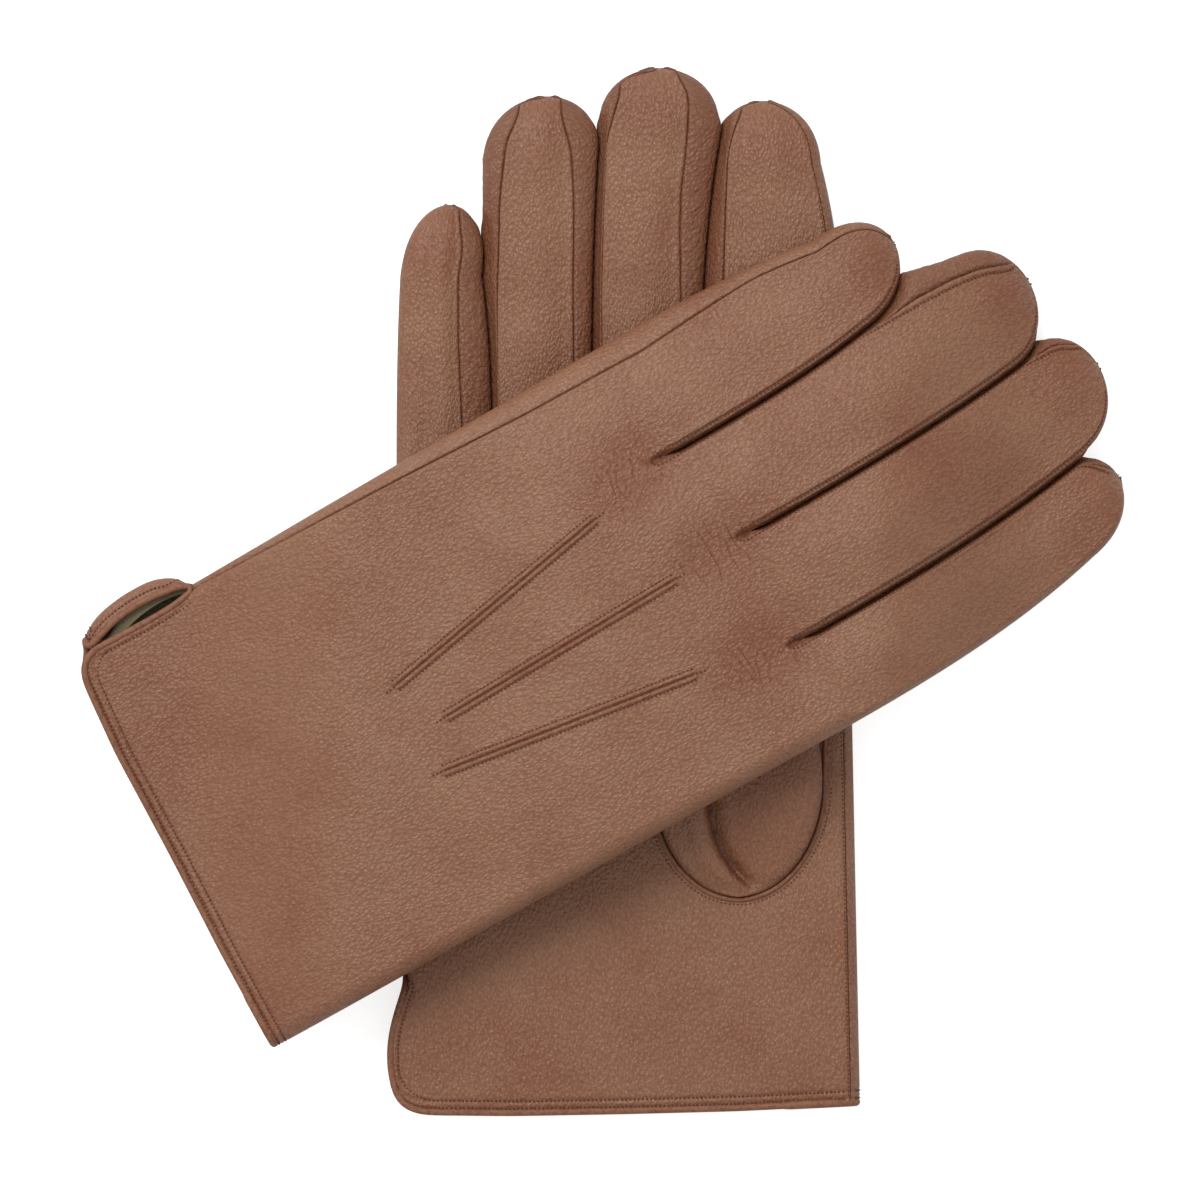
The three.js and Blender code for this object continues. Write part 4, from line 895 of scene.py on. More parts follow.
def finger_lining(glove, k):
    columns = np.linspace(0, 1, 49)
    shoulder, reach = glove.shoulders[k], FINGER_CAPS[k] - LINING_INSET
    straight = np.linspace(glove.creases[k] + CREASE_GAP, shoulder, 24)
    cap, shares = round_cap(shoulder, reach, 10)
    along = np.concatenate([straight, cap])
    caps = np.concatenate([0 * straight, reach / FINGER_CAPS[k] * shares])

    def put(i, j):
        y, cap = along[j], caps[j]
        tube = finger_tube(glove, k, y, cap)
        w = lerp(-1, 1, columns[i])
        _, _, flat, turn = tube.parts(np.sign(w))
        w = w * (2 * flat + turn)
        x, z, nx, nz = finger_point(glove, k, 1, w, y, cap)
        inset = np.minimum(LINING_INSET, 0.4 * tube.halves[0])
        z = np.where(j == len(along) - 1, tube.middle, z - nz * inset)
        return finish_points(glove, x - nx * inset, y, z, nx, nz, 0, w)

    return woven(f"{glove.side}_{FINGERS[k]}_lining_cloth", [(columns, along, put)], LINING_WALL)


# The thumb
def thumb_cap(y):
    return np.clip((y - THUMB_CAP_START) / THUMB_CAP, 0, 1)


def thumb_half_width(y):
    into = np.clip((THUMB_SHOULDER - y) / (THUMB_SHOULDER - THUMB_START), 0, 1)
    root = THUMB_ROOT_HALF_WIDTH * np.sqrt(np.clip(1 - into ** 2, 0, 1))
    upper = lerp(THUMB_ROOT_HALF_WIDTH, THUMB_CREASE_HALF_WIDTH, smooth(THUMB_SHOULDER, THUMB_CREASE, y))
    taper = np.clip((y - THUMB_CREASE) / (THUMB_CAP_START - THUMB_CREASE), 0, 1)
    tip = lerp(THUMB_CREASE_HALF_WIDTH, THUMB_HALF_WIDTH, taper) * cap_scale(thumb_cap(y))
    return np.where(y < THUMB_SHOULDER, root, np.where(y < THUMB_CREASE, upper, tip))


def thumb_tube(glove, y):
    half = thumb_half_width(y)
    centre = THUMB_CENTRE + THUMB_LEAN * smooth(THUMB_CREASE, THUMB_END, y)
    rise = smooth(THUMB_START - 2, THUMB_START + 30, y) ** 0.7
    fall = np.sqrt(np.clip(1 - thumb_cap(y) ** 3, 0, 1))
    radius = np.maximum(THUMB_RADIUS * np.minimum(lerp(0.45, 1, rise), fall), 0.05)
    top = 2 * HAND_RADIUS + HAND_CROWN + THUMB_CLEARANCE
    rest = lerp(top - THUMB_SUNK, top, smooth(THUMB_START, THUMB_START + 26, y))
    middle = rest + radius if glove.palm_up else -THUMB_CLEARANCE - radius
    return Tube(centre, centre - half, centre + half, radius, THUMB_ROLL, THUMB_ROLL, middle)


def thumb_dents(x, y):
    """The deep fold beside the thumb's root, with the roll that it leaves at the palm's side, and the painted
    shade in the fold.
    """
    deep = smooth(*FOLD_STARTS, y) * (1 - smooth(*FOLD_ENDS, y))
    side = x - np.interp(y, *zip(*THUMB_FOLD))
    fold = np.exp(-(side / np.where(side < 0, 0.9, 2.3)) ** 2)
    roll = np.exp(-((side + 4.0) / 2.8) ** 2)
    face = np.exp(-((side - 9) / 6.0) ** 2)
    return deep * (2.7 * fold - 1.5 * roll - 0.35 * face), 0.9 * deep * np.exp(-(side / 0.8) ** 2)


def thumb_sheet(glove, rows):
    face = glove.face(False)
    columns = np.linspace(0, 1, 121)

    def put(i, j):
        y = rows[j]
        tube = thumb_tube(glove, y)
        half, _, flat, turn = tube.parts(1)
        c = columns[i] if face > 0 else 1 - columns[i]
        w = lerp(-1, 1, c) * (2 * flat + turn)
        x, z, nx, nz, level = tube.point(face, w)
        sink, fold = thumb_dents(x, y)
        on_face = smooth(0.3, 1, level)
        # Painted shade in the fold and along the seam round the thumb's root.
        near_seam = np.exp(-((half - np.abs(x - tube.centre)) / 1.0) ** 2) * (y < 96)
        crown = np.clip(1 - ((x - tube.centre) / half) ** 2, 0, 1)
        crown = crown * smooth(56, 80, y) * (1 - smooth(THUMB_CAP_START, THUMB_END, y))
        sink = (sink - crown * (0.7 * 0.3 if glove.palm_up else 0)) * on_face
        wear_and_shade = 0.55 * smooth(0, 8, x - THUMB_CENTRE + 6) * (y < 100)
        return finish_points(glove, x, y, z, nx, nz, sink, x + SKIN_STEP, fold * 0.9 + 0.5 * near_seam, wear_and_shade)

    return columns, rows, put


def thumb_base(glove):
    turns = np.linspace(0.02, math.pi / 2, 40)
    low = THUMB_SHOULDER - (THUMB_SHOULDER - THUMB_START) * np.cos(turns)
    rows = np.concatenate([[THUMB_START + 0.003], low, np.linspace(THUMB_SHOULDER, THUMB_CREASE, 34)[1:]])
    return woven(f"{glove.side}_thumb_root_leather", [thumb_sheet(glove, rows)], STRIP_WALL)


def thumb_tip(glove):
    cap, _ = round_cap(THUMB_CAP_START, THUMB_CAP, 20)
    rows = np.concatenate([np.linspace(THUMB_CREASE, THUMB_CAP_START, 30), cap])
    return woven(f"{glove.side}_thumb_leather", [thumb_sheet(glove, rows)], STRIP_WALL)


def thumb_lining(glove):
    cap, _ = round_cap(THUMB_CAP_START, THUMB_CAP - 1.2, 12)
    rows = np.concatenate([np.linspace(THUMB_CREASE + CREASE_GAP, THUMB_CAP_START, 16), cap])
    columns = np.linspace(0, 1, 49)

    def put(i, j):
        y = rows[j]
        tube = thumb_tube(glove, y)
        half, _, flat, turn = tube.parts(1)
        w = lerp(-1, 1, columns[i]) * (2 * flat + turn)
        x, z, nx, nz, _ = tube.point(1, w)
        return finish_points(glove, x, y, z, nx, nz, np.minimum(0.95, 0.4 * half), w)

    return woven(f"{glove.side}_thumb_lining_cloth", [(columns, rows, put)], 0.3)


def bead(name, points, radius, swell=None, closed=False):
    """A round folded edge of leather along a line of points."""
    curve = bpy.data.curves.new(name, "CURVE")
    curve.dimensions = "3D"
    curve.bevel_depth = radius * MM
    curve.bevel_resolution = 3
    curve.use_fill_caps = not closed
    line = curve.splines.new("POLY")
    line.points.add(len(points) - 1)
    line.points.foreach_set("co", np.concatenate([points, np.ones((len(points), 1))], 1).ravel())
    line.use_cyclic_u = closed
    if swell is not None:
        line.points.foreach_set("radius", swell)
    source = show(name + "_line", curve)
    mesh = final_mesh(source)
    bpy.data.objects.remove(source)
    mesh.name = name
    mesh.shade_smooth()
    return show(name, mesh)


def even(points, pitch):
    """The same line with its points a pitch apart."""
    points = np.asarray(points, float)
    run = np.concatenate([[0], np.cumsum(np.linalg.norm(np.diff(points, axis=0), axis=1))])
    at = np.linspace(0, run[-1], max(int(run[-1] / pitch), 2))
    return np.stack([np.interp(at, run, points[:, c]) for c in range(points.shape[1])], -1)


def soften(points, times=3):
    """Rounds a line's corners: each time every point moves halfway to its neighbours."""
    points = np.array(points, float)
    for _ in range(times):
        points[1:-1] = (points[:-2] + 2 * points[1:-1] + points[2:]) / 4
    return points


def cuff_path(glove, is_back):
    """A leaf's edge from the top of the vent, round the cuff's corner and along the hem, as x, y, z."""
    face = glove.face(is_back)
    y = np.linspace(VENT_LENGTH + 1, glove.corner_top(is_back), 30)
    left, _ = hand_ends(glove, is_back, y)
    hem_y = glove.cuff_line(left[-1:], is_back)
    left_end, right_end = (end[0] for end in hand_ends(glove, is_back, hem_y))
    w = left_end + (right_end - left_end) * np.linspace(0, 1, 240) ** HEM_CROWDING
    line_w = np.concatenate([left, w])
    line_y = np.concatenate([y, glove.cuff_line(w, is_back)])
    x, z, nx, nz, _ = hand_point(glove, face, line_w, line_y)
    return np.stack([x - nx * BINDING_SINK, line_y, z - nz * BINDING_SINK], -1)


def cuff_binding(glove):
    """The bound edge: down the vent's palm side, round the cuff and up its back side to where it began."""
    palm, back = cuff_path(glove, False), cuff_path(glove, True)
    path = soften(even(np.concatenate([palm, back[::-1]]), 1.0), 8)
    ahead = np.roll(path, -1, 0) - np.roll(path, 1, 0)
    out = np.stack([-ahead[:, 1], ahead[:, 0]], -1) / (np.linalg.norm(ahead[:, :2], axis=1)[:, None] + 1e-6)
    out *= np.sign(np.sum(out * (path[:, :2] - CUFF_MIDDLE), axis=1))[:, None]
    path[:, :2] += out * BINDING_OUT
    path = soften(path, 3)
    up = path[:, 2] > CUFF_RADIUS
    path[:, 2] = np.maximum(path[:, 2], BINDING_RADIUS + FLOOR_GAP)
    overlap = smooth(*OVERLAP_STARTS, path[:, 0]) * (1 - smooth(*OVERLAP_ENDS, path[:, 0]))
    overlap = OVERLAP_SWELL * overlap * (path[:, 1] < 8) * up
    name = f"{glove.side}_cuff_binding_leather"
    return bead(name, to_row(glove, *path.T), BINDING_RADIUS, 1 + overlap, True)


def thumb_round(turn, away, below):
    """A line round the thumb's root, that far outside it; turn runs from -1 to 1."""
    angle = turn * math.pi / 2
    x = THUMB_CENTRE + (THUMB_ROOT_HALF_WIDTH + away) * np.sin(angle)
    return x, THUMB_SHOULDER - (THUMB_SHOULDER - THUMB_START + below) * np.cos(angle)


def thumb_welt(glove):
    face = glove.face(False)
    turn = np.linspace(-1, 1, 90)
    x, y = thumb_round(turn, 0.7, 0.7)
    y = y + (WELT_END - THUMB_SHOULDER) * np.maximum(0, np.abs(turn) - 0.9) / 0.1
    z = hand_point(glove, face, x, y)[1] + face * 0.18
    path = soften(even(np.stack([x, y, z], -1), 1.0), 2)
    return bead(f"{glove.side}_thumb_seam_leather", to_row(glove, *path.T), WELT_RADIUS)


def point_length(which):
    return math.dist(POINT_STARTS[which], POINT_ENDS[which])


def beside_point(which, run, wide):
    """Places at a run along a sewn point's line, and that far to one side of it."""
    (x0, y0), (x1, y1) = POINT_STARTS[which], POINT_ENDS[which]
    ahead_x, ahead_y = (x1 - x0) / point_length(which), (y1 - y0) / point_length(which)
    return x0 + ahead_x * run + ahead_y * wide, y0 + ahead_y * run - ahead_x * wide


def back_point(glove, which):
    """A sewn point: two fine ridges side by side, with a stitched line between them."""
    face = glove.face(True)
    length = point_length(which)
    across = np.linspace(-1, 1, 23)
    rows = spread(length, [0.0, length], 0.8, 0.3)

    def put(i, j):
        a = across[i] if face > 0 else -across[i]
        run = rows[j] * length
        ends = np.clip(np.minimum(run, length - run) / 2.2, 0, 1) ** 0.5
        x, y = beside_point(which, run, a * POINT_HALF_WIDTH * lerp(0.55, 1, ends))
        ridge = np.abs(np.sin(math.pi * a)) ** 0.7 * (1 - 0.15 * np.abs(a))
        high = POINT_HEIGHT * ridge * ends * (1 if face > 0 else 0.45)
        z = hand_point(glove, face, x, y)[1] + face * (high - 0.14)
        # Painted shade in the grooves between and beside the ridges.
        groove = np.exp(-(a / 0.16) ** 2) + np.exp(-((np.abs(a) - 1) / 0.14) ** 2)
        return finish_points(glove, x, y, z, 0, face, 0, x + SKIN_STEP * 2, 0.45 * groove, 0.4)

    return woven(f"{glove.side}_sewn_point_{which + 1}", [(across, rows, put)], wall=0)


# Stitches
def stitch_mesh(name, lines):
    """One mesh of short threads: each lies along its line, sunk a little into the leather."""
    unit = bmesh.new()
    bmesh.ops.create_uvsphere(unit, u_segments=6, v_segments=4, radius=1)
    mesh = bpy.data.meshes.new(name)
    unit.to_mesh(mesh)
    unit.free()
    thread = np.array([tuple(v.co) for v in mesh.vertices])
    starts, ends = [], []
    for points in lines:
        points = even(points, STITCH_PITCH * MM)
        starts.append(points[:-1])
        ends.append(points[1:])
    starts, ends = np.concatenate(starts), np.concatenate(ends)
    bm = bmesh.new()
    for _ in range(len(starts)):
        bm.from_mesh(mesh)
    bm.to_mesh(mesh)
    bm.free()
    ahead = ends - starts
    ahead /= np.linalg.norm(ahead, axis=1)[:, None]
    across = np.cross(ahead, (0, 0, 1))
    across /= np.linalg.norm(across, axis=1)[:, None]
    over = np.cross(across, ahead)
    lengths = thread[:, 2] * STITCH_LENGTH / 2 * MM
    widths, heights = thread[:, 0] * STITCH_RADIUS * MM, thread[:, 1] * STITCH_RADIUS * MM
    placed = (starts + ends)[:, None, :] / 2 + ahead[:, None, :] * lengths[None, :, None]
    placed = placed + across[:, None, :] * widths[None, :, None] + over[:, None, :] * heights[None, :, None]
    mesh.vertices.foreach_set("co", placed.ravel())
    mesh.update()
    mesh.shade_smooth()
    return show(name, mesh)


def lap_line(glove, k, side):
    """The stitch row beside the back's edge on one side of finger k, from its fold nearly to its tip."""
    along, caps = finger_rows(glove, k, 0.5)
    y, cap = along[caps <= LAST_STITCH], caps[caps <= LAST_STITCH]
    tube = finger_tube(glove, k, y, cap)
    arc = np.maximum(tube.arc_at(glove.back_inset(k, side, y), side) - LAP_STITCH, 0.1)
    x, z, nx, nz = finger_point(glove, k, glove.face(True), side * arc, y, cap)
    return to_row(glove, x - nx * FINGER_STITCH_SINK, y, z - nz * FINGER_STITCH_SINK)


def crotch_line(glove, j):
    """The stitches that run round a crotch on the back, from one finger's row to the next one's."""
    face = glove.face(True)
    root = glove.root_along[j]
    xs, ys, zs = [], [], []
    for k, side in ((j - 1, 1), (j, -1)):
        y = np.arange(root + 1.0, glove.creases[k] + 0.01, 0.5)
        tube = finger_tube(glove, k, y, np.zeros_like(y))
        arc = tube.arc_at(glove.back_inset(k, side, y), side) - LAP_STITCH
        x, z, _, nz = finger_point(glove, k, face, side * arc, y, np.zeros_like(y))
        hand_x = glove.boundary(j, y) - side * (LAP_STITCH + 0.1)
        _, hand_z, _, _, _ = hand_point(glove, face, hand_x, y)
        weight = smooth(0, SLIT_OPENING, y - root)
        x, z = lerp(hand_x, x, weight), lerp(hand_z, z, weight)
        order = slice(None, None, -1) if side > 0 else slice(None)
        xs.append(x[order])
        ys.append(y[order])
        zs.append((z + nz * 0.04)[order])
    angle = np.linspace(math.pi, 2 * math.pi, 9)
    bend_x = glove.roots[j] + CROTCH_LOOP[0] * np.cos(angle)
    bend_y = root - CROTCH_LOOP_BEFORE + CROTCH_LOOP[1] * np.sin(angle)
    _, bend_z, _, _, _ = hand_point(glove, face, bend_x, bend_y)
    x = np.concatenate([xs[0], bend_x, xs[1]])
    y = np.concatenate([ys[0], bend_y, ys[1]])
    z = np.concatenate([zs[0], bend_z + face * 0.12, zs[1]])
    return to_row(glove, x, y, z)


def surface_line(glove, is_back, xs, ys, sink):
    face = glove.face(is_back)
    xs, ys = np.asarray(xs, float), np.asarray(ys, float)
    x, z, nx, nz, _ = hand_point(glove, face, xs, ys)
    return to_row(glove, x - nx * sink, ys, z - nz * sink)


def cuff_lines(glove, is_back):
    """Two rows of stitches inside the bound edge, along the hem and up the vent."""
    lines = []
    for row, sink in zip(CUFF_ROWS, CUFF_ROW_SINKS):
        y = np.linspace(VENT_LENGTH, glove.corner_top(is_back), 30)
        left, _ = hand_ends(glove, is_back, y)
        first, last = hand_ends(glove, is_back, glove.cuff_line(left[-1:], is_back))
        w = first[0] + row + (last[0] - 1.5 - first[0] - row) * np.linspace(0, 1, 200) ** HEM_CROWDING
        line_w = np.concatenate([left + row, w])
        line_y = np.concatenate([y, glove.cuff_line(w - row, is_back) + row])
        lines.append(surface_line(glove, is_back, line_w, line_y, sink))
    return lines


def point_lines(glove, which):
    """The stitched middle line of a sewn point, and the one down each of its sides."""
    lines = []
    for wide, high, more in ((-POINT_HALF_WIDTH, 0.1, -0.8), (0, 0.12, 2.0), (POINT_HALF_WIDTH, 0.1, -0.8)):
        x, y = beside_point(which, np.linspace(-more, point_length(which) + more, 80), wide)
        lines.append(surface_line(glove, True, x, y, -high))
    return lines


def index_seam_line(glove):
    """Fine stitches on the palm, just inside the seam at the index finger's side."""
    y = np.arange(HEM_INSET + 3, glove.creases[3], 1.0)
    _, right = hand_ends(glove, False, y)
    return surface_line(glove, False, right - 0.75, y, 0.05)


def thumb_seam_line(glove):
    return surface_line(glove, False, *thumb_round(np.linspace(-0.97, 0.97, 90), 2.2, 1.9), 0.08)


# Materials
def colour(hexa):
    """An sRGB hex colour as linear red, green, blue and 1."""
    parts = [int(hexa[i:i + 2], 16) / 255 for i in (0, 2, 4)]
    return tuple(p / 12.92 if p <= 0.04045 else ((p + 0.055) / 1.055) ** 2.4 for p in parts) + (1.0,)


def add(tree, kind, inputs=None, **settings):
    """Adds a node with its settings; an input is a value or another node's output."""
    made = tree.nodes.new(kind)
    for name, value in settings.items():
        setattr(made, name, value)
    for key, value in (inputs or {}).items():
        if isinstance(value, bpy.types.NodeSocket):
            tree.links.new(value, made.inputs[key])
        else:
            made.inputs[key].default_value = value
    return made


class Maker:
    """One material's nodes: each method adds a node and gives its output."""

    def __init__(self, name):
        self.material = bpy.data.materials.new(name)
        self.material.use_nodes = True
        self.tree = self.material.node_tree
        self.shader = self.tree.nodes["Principled BSDF"]

    def skin(self):
        return add(self.tree, "ShaderNodeUVMap", uv_map="skin").outputs[0]

    def place(self):
        return add(self.tree, "ShaderNodeTexCoord").outputs["Object"]

    def mark(self, name):
        return add(self.tree, "ShaderNodeAttribute", attribute_name=name).outputs["Fac"]

    def drawn(self, vector, scale, turn):
        inputs = {"Vector": vector, "Scale": scale, "Rotation": (0, 0, turn)}
        return add(self.tree, "ShaderNodeMapping", inputs).outputs[0]

    def noise(self, vector, size, detail=2.0, result="Fac", **more):
        """Noise in patches of about that size, in the vector's own units."""
        inputs = {"Vector": vector, "Scale": 1 / size, "Detail": detail, **more}
        return add(self.tree, "ShaderNodeTexNoise", inputs).outputs[result]

    def math(self, operation, first, second=0.0, clamp=False):
        inputs = {0: first, 1: second}
        return add(self.tree, "ShaderNodeMath", inputs, operation=operation, use_clamp=clamp).outputs[0]

    def ranged(self, value, low, high, at_low, at_high):
        """The value between low and high, as one between at_low and at_high."""
        inputs = {"Value": value, "From Min": low, "From Max": high, "To Min": at_low, "To Max": at_high}
        return add(self.tree, "ShaderNodeMapRange", inputs).outputs[0]

    def mix(self, share, first, second):
        """Two colours mixed, each a hex colour or another node's output."""
        first, second = (colour(c) if isinstance(c, str) else c for c in (first, second))
        inputs = {"Factor": share, "A": first, "B": second}
        return add(self.tree, "ShaderNodeMix", inputs, data_type="RGBA").outputs[2]

    def finish(self, tint, rough, height, strength, depth):
        """Joins the colour, the roughness and a bump of that depth in millimetres to the shader."""
        bump = add(self.tree, "ShaderNodeBump", {"Height": height, "Strength": strength,
                                                   "Distance": depth * MM})
        for output, name in ((tint, "Base Color"), (rough, "Roughness"), (bump.outputs[0], "Normal")):
            self.tree.links.new(output, self.shader.inputs[name])
        return self.material


# The leather's tan and redder tones, then its painted ridge highlight and its painted shade.
LEATHER_TAN, LEATHER_FLUSH, LEATHER_RIDGE_HIGHLIGHT, LEATHER_SHADE = "93674c", "87543a", "a97c5d", "5c2d1a"
THREAD_DARK, THREAD_LIGHT = "552914", "7d452b"
LINING_DARK, LINING_LIGHT = "7b7053", "9c9273"
LEATHER_IOR = 1.46


def hairsheep_leather():
    """Dyed hair-sheep leather, drum-tumbled: a fine wavy grain, a soft sheen, a painted highlight and painted
    shade, and redder where handled and where shade is painted.
    """
    make = Maker("hair-sheep leather")
    skin, wear_and_shade = make.skin(), make.mark("wear_and_shade")
    blotched = make.ranged(make.noise(skin, 26, 3.0, Roughness=0.55), 0.42, 0.7, 0.0, 0.7)
    tint = make.mix(make.math("ADD", blotched, wear_and_shade, True), LEATHER_TAN, LEATHER_FLUSH)
    # Pebbles a little under a millimetre across, drawn out along the skin.
    stretched = make.drawn(skin, (1.0, 0.7, 1.0), 0.5)
    bent = make.noise(stretched, 1.6, result="Color")
    swirled = add(make.tree, "ShaderNodeVectorMath", {0: stretched, 1: bent}, operation="ADD").outputs[0]
    cells = add(make.tree, "ShaderNodeTexVoronoi", {"Vector": swirled, "Scale": 1 / 0.72}).outputs["Distance"]
    pebbles = make.math("SUBTRACT", make.noise(stretched, 0.6, Roughness=0.6), cells)
    # Soft creases a few millimetres apart where the leather is handled most, with painted shade in them.
    flow = make.noise(make.drawn(skin, (0.32, 1.0, 1.0), 0.25), 3.4, 1.5, Distortion=0.3)
    line = make.ranged(make.math("ABSOLUTE", make.math("SUBTRACT", flow, 0.5)), 0.0, 0.05, 0.6, 0.0)
    crease = make.math("MULTIPLY", line, make.ranged(wear_and_shade, 0.42, 0.8, 0.0, 1.0))
    # Painted shade in the grain's valleys and the creases, a painted highlight on the grain's ridges, and
    # painted shade along seams, grooves and folds.
    low = make.ranged(pebbles, -0.35, 0.15, 0.2, 0.0)
    painted_dark = make.math("ADD", low, make.math("MULTIPLY", crease, 0.22), True)
    lit = make.mix(make.ranged(pebbles, -0.05, 0.45, 0.0, 0.3), tint, LEATHER_RIDGE_HIGHLIGHT)
    shade = make.mix(make.mark("painted_shade"), make.mix(painted_dark, lit, LEATHER_SHADE), LEATHER_SHADE)
    make.shader.inputs["IOR"].default_value = LEATHER_IOR
    make.shader.inputs["Specular IOR Level"].default_value = 0.55
    rough = make.ranged(pebbles, -0.3, 0.3, 0.51, 0.33)
    return make.finish(shade, rough, make.math("SUBTRACT", pebbles, crease), 1.0, 0.26)


def folded_edge_leather():
    """The same leather, skived thin and folded over the edge: tighter, with fine cross wrinkles, and darker
    from painted shade in their valleys.
    """
    make = Maker("folded edge leather")
    place = make.place()
    wrinkles = make.noise(place, 0.9 * MM, 3.0, Distortion=0.5)
    tint = make.mix(make.noise(place, 9 * MM), LEATHER_TAN, LEATHER_FLUSH)
    shade = make.mix(make.ranged(wrinkles, 0.3, 0.55, 0.6, 0.0), tint, LEATHER_SHADE)
    make.shader.inputs["IOR"].default_value = LEATHER_IOR
    return make.finish(shade, make.ranged(wrinkles, 0.0, 1.0, 0.66, 0.5), wrinkles, 0.6, 0.15)


def sewing_thread():
    """Waxed cotton thread, dyed to the leather: matt, with a fine twist along each stitch."""
    make = Maker("dyed sewing thread")
    twist = make.noise(make.place(), 0.35 * MM, 1.0)
    tint = make.mix(twist, THREAD_DARK, THREAD_LIGHT)
    return make.finish(tint, make.ranged(twist, 0.0, 1.0, 0.85, 0.7), twist, 0.4, 0.05)


def knitted_lining():
    """Fine knitted lining in olive beige: matt, in small loops about a millimetre apart."""
    make = Maker("knitted lining")
    skin = make.skin()
    inputs = {"Vector": skin, "Scale": 1 / 1.1, "Distortion": 1.2, "Detail": 1.0}
    loops = add(make.tree, "ShaderNodeTexWave", inputs).outputs["Fac"]
    fuzz = make.noise(skin, 1 / 1.6, 4.0)
    both = make.math("MULTIPLY", loops, fuzz)
    make.shader.inputs["Sheen Weight"].default_value = 0.2
    tint = make.mix(both, LINING_DARK, LINING_LIGHT)
    return make.finish(tint, make.ranged(fuzz, 0.0, 1.0, 0.98, 0.85), both, 0.7, 0.2)


leather = hairsheep_leather()
edging = folded_edge_leather()
thread = sewing_thread()
lining = knitted_lining()


def give(piece, material, body, node=None):
    """Gives a piece its material and slot, sets it on the body that it rides on, and hides the CAD node that it
    stands for.
    """
    piece.data.materials.clear()
    piece.data.materials.append(material)
    if node:
        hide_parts(node)
    if body:
        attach(piece, body)
    return piece


def bend_ends(glove, x, crease, length):
    """The two ends of a bend on the table: at a crease, and a little way past it."""
    ends = [to_row(glove, x, y, 0.0) for y in (crease, crease + length)]
    for end in ends:
        end[2] = 0.0
    return ends


def make_finger(glove, k):
    side, finger = glove.side, f"{glove.side}_{FINGERS[k]}"
    lines = [lap_line(glove, k, edge) for edge in inner_sides(k)[::-1]]
    pieces = [
        give(finger_panel(glove, k, True), leather, None, f"{finger}_back"),
        give(finger_panel(glove, k, False), leather, None, f"{finger}_palm"),
        give(finger_fourchette(glove, k), leather, None, f"{finger}_fourchette"),
        give(finger_lining(glove, k), lining, None, f"{finger}_lining"),
        give(stitch_mesh(f"{finger}_stitches", lines), thread, None),
    ]
    crease = float(glove.creases[k])
    middle = (glove.left_edge(k, crease) + glove.right_edge(k, crease)) / 2
    for piece in pieces:
        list(bend_ends(glove, middle, crease, FOLD_BEND))
        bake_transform(piece)


def make_glove(lay):
    glove = Glove(lay)
    side, hand, thumb = glove.side, f"{glove.side}_hand", f"{glove.side}_thumb"
    give(hand_panel(glove, True), leather, hand, f"{side}_back_panel")
    give(hand_panel(glove, False), leather, hand, f"{side}_palm_panel")
    give(hand_lining(glove), lining, hand, f"{side}_hand_lining")
    give(thumb_base(glove), leather, hand, f"{side}_thumb_base")
    give(thumb_welt(glove), edging, hand, f"{side}_thumb_welt")
    give(cuff_binding(glove), edging, hand, f"{side}_cuff_binding")
    for which, name in enumerate(("outer", "middle", "inner")):
        give(back_point(glove, which), leather, hand, f"{side}_point_{name}")
    for j in range(3):
        between = f"{side}_{FINGERS[j]}_{FINGERS[j + 1]}_fourchette"
        give(crotch_fourchette(glove, j), leather, hand, between)
    for k in range(4):
        make_finger(glove, k)
    tip = give(thumb_tip(glove), leather, None, f"{side}_thumb_tip")
    cloth = give(thumb_lining(glove), lining, None, f"{side}_thumb_lining")
    for piece in (tip, cloth):
        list(bend_ends(glove, THUMB_CENTRE, THUMB_CREASE, THUMB_BEND))
        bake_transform(piece)
    lines = [crotch_line(glove, j) for j in (1, 2, 3)] + cuff_lines(glove, True) + cuff_lines(glove, False)
    for which in range(3):
        lines += point_lines(glove, which)
    lines += [thumb_seam_line(glove), index_seam_line(glove)]
    give(stitch_mesh(f"{side}_hand_stitches", lines), thread, hand)


for lay in (RIGHT, LEFT):
    make_glove(lay)

# The photograph looks straight down, and its 1200 pixels span 284.6 mm.
PHOTO_WIDTH = 284.6 * MM
PHOTO_PIXELS = 1200
PHOTO_SCALE = PHOTO_WIDTH / PHOTO_PIXELS
PHOTO_ORIGIN = (603.5, 592.5)
FLOOR_HALF_WIDTH = 3.0
FLOOR_DROP = 0.0002
CAMERA_HEIGHT = 3.0
CAMERA_LEVEL = 0.012


def two_looks(tree, lit, seen, out_kind, socket):
    """Joins one shader for the light that it gives and another for what the camera sees."""
    path = add(tree, "ShaderNodeLightPath").outputs["Is Camera Ray"]
    mix = add(tree, "ShaderNodeMixShader", {0: path, 1: lit.outputs[0], 2: seen.outputs[0]})
    tree.links.new(mix.outputs[0], add(tree, out_kind).inputs[socket])


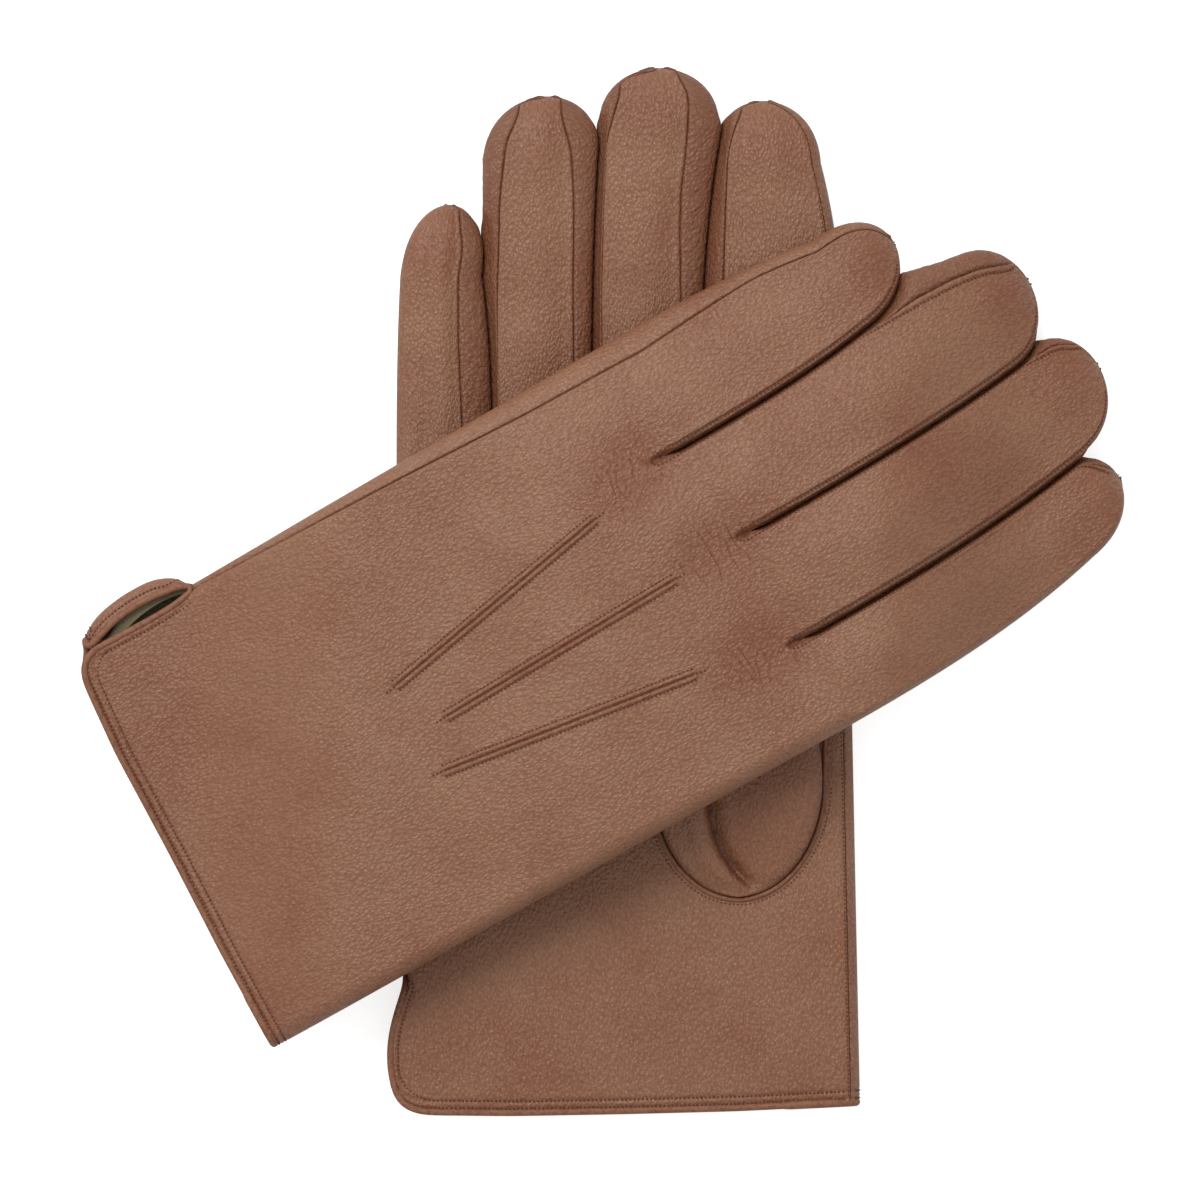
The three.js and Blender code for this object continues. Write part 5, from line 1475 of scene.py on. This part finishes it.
def floor_material():
    """A white table: seen by the camera as plain white with the gloves' soft shadow on it."""
    material = bpy.data.materials.new("white table")
    material.use_nodes = True
    tree = material.node_tree
    tree.nodes.clear()
    paper = add(tree, "ShaderNodeBsdfDiffuse", {"Color": (0.86, 0.86, 0.86, 1)})
    glow = add(tree, "ShaderNodeEmission", {"Color": (1, 1, 1, 1), "Strength": 0.72})
    seen = add(tree, "ShaderNodeAddShader", {0: paper.outputs[0], 1: glow.outputs[0]})
    two_looks(tree, paper, seen, "ShaderNodeOutputMaterial", "Surface")
    return material


def make_stage():
    bm = bmesh.new()
    bmesh.ops.create_grid(bm, x_segments=1, y_segments=1, size=FLOOR_HALF_WIDTH,
                          matrix=Matrix.Translation((0, 0, -FLOOR_DROP)))
    mesh = bpy.data.meshes.new("table")
    bm.to_mesh(mesh)
    bm.free()
    mesh.materials.append(floor_material())
    show("table", mesh)


def make_light(name, place, size, power):
    lamp = bpy.data.lights.new(name, "AREA")
    lamp.shape = "DISK"
    lamp.size = size
    lamp.energy = power
    holder = show(name, lamp)
    holder.location = place
    holder.rotation_mode = "QUATERNION"
    holder.rotation_quaternion = (-Vector(place)).to_track_quat("-Z", "Y")


def make_world():
    world = bpy.data.worlds.new("studio")
    bpy.context.scene.world = world
    world.use_nodes = True
    tree = world.node_tree
    tree.nodes.clear()
    soft, white = (add(tree, "ShaderNodeBackground", {"Color": (1, 1, 1, 1), "Strength": strength})
                   for strength in (0.56, 1.0))
    two_looks(tree, soft, white, "ShaderNodeOutputWorld", "Surface")


def make_camera():
    lens = bpy.data.cameras.new("camera")
    camera = show("camera", lens)
    centre = PHOTO_PIXELS / 2
    x = (centre - PHOTO_ORIGIN[0]) * PHOTO_SCALE + SHIFT_X * MM
    y = (PHOTO_ORIGIN[1] - centre) * PHOTO_SCALE + SHIFT_Y * MM
    camera.location = (x, y, CAMERA_HEIGHT)
    lens.sensor_width = 36.0
    lens.lens = lens.sensor_width * (CAMERA_HEIGHT - CAMERA_LEVEL) / PHOTO_WIDTH
    lens.clip_end = 10.0
    bpy.context.scene.camera = camera


make_stage()
make_light("window light", place=(-0.7, 1.2, 1.7), size=1.3, power=27.0)
make_world()
make_camera()
bpy.context.scene.view_settings.view_transform = "Standard"
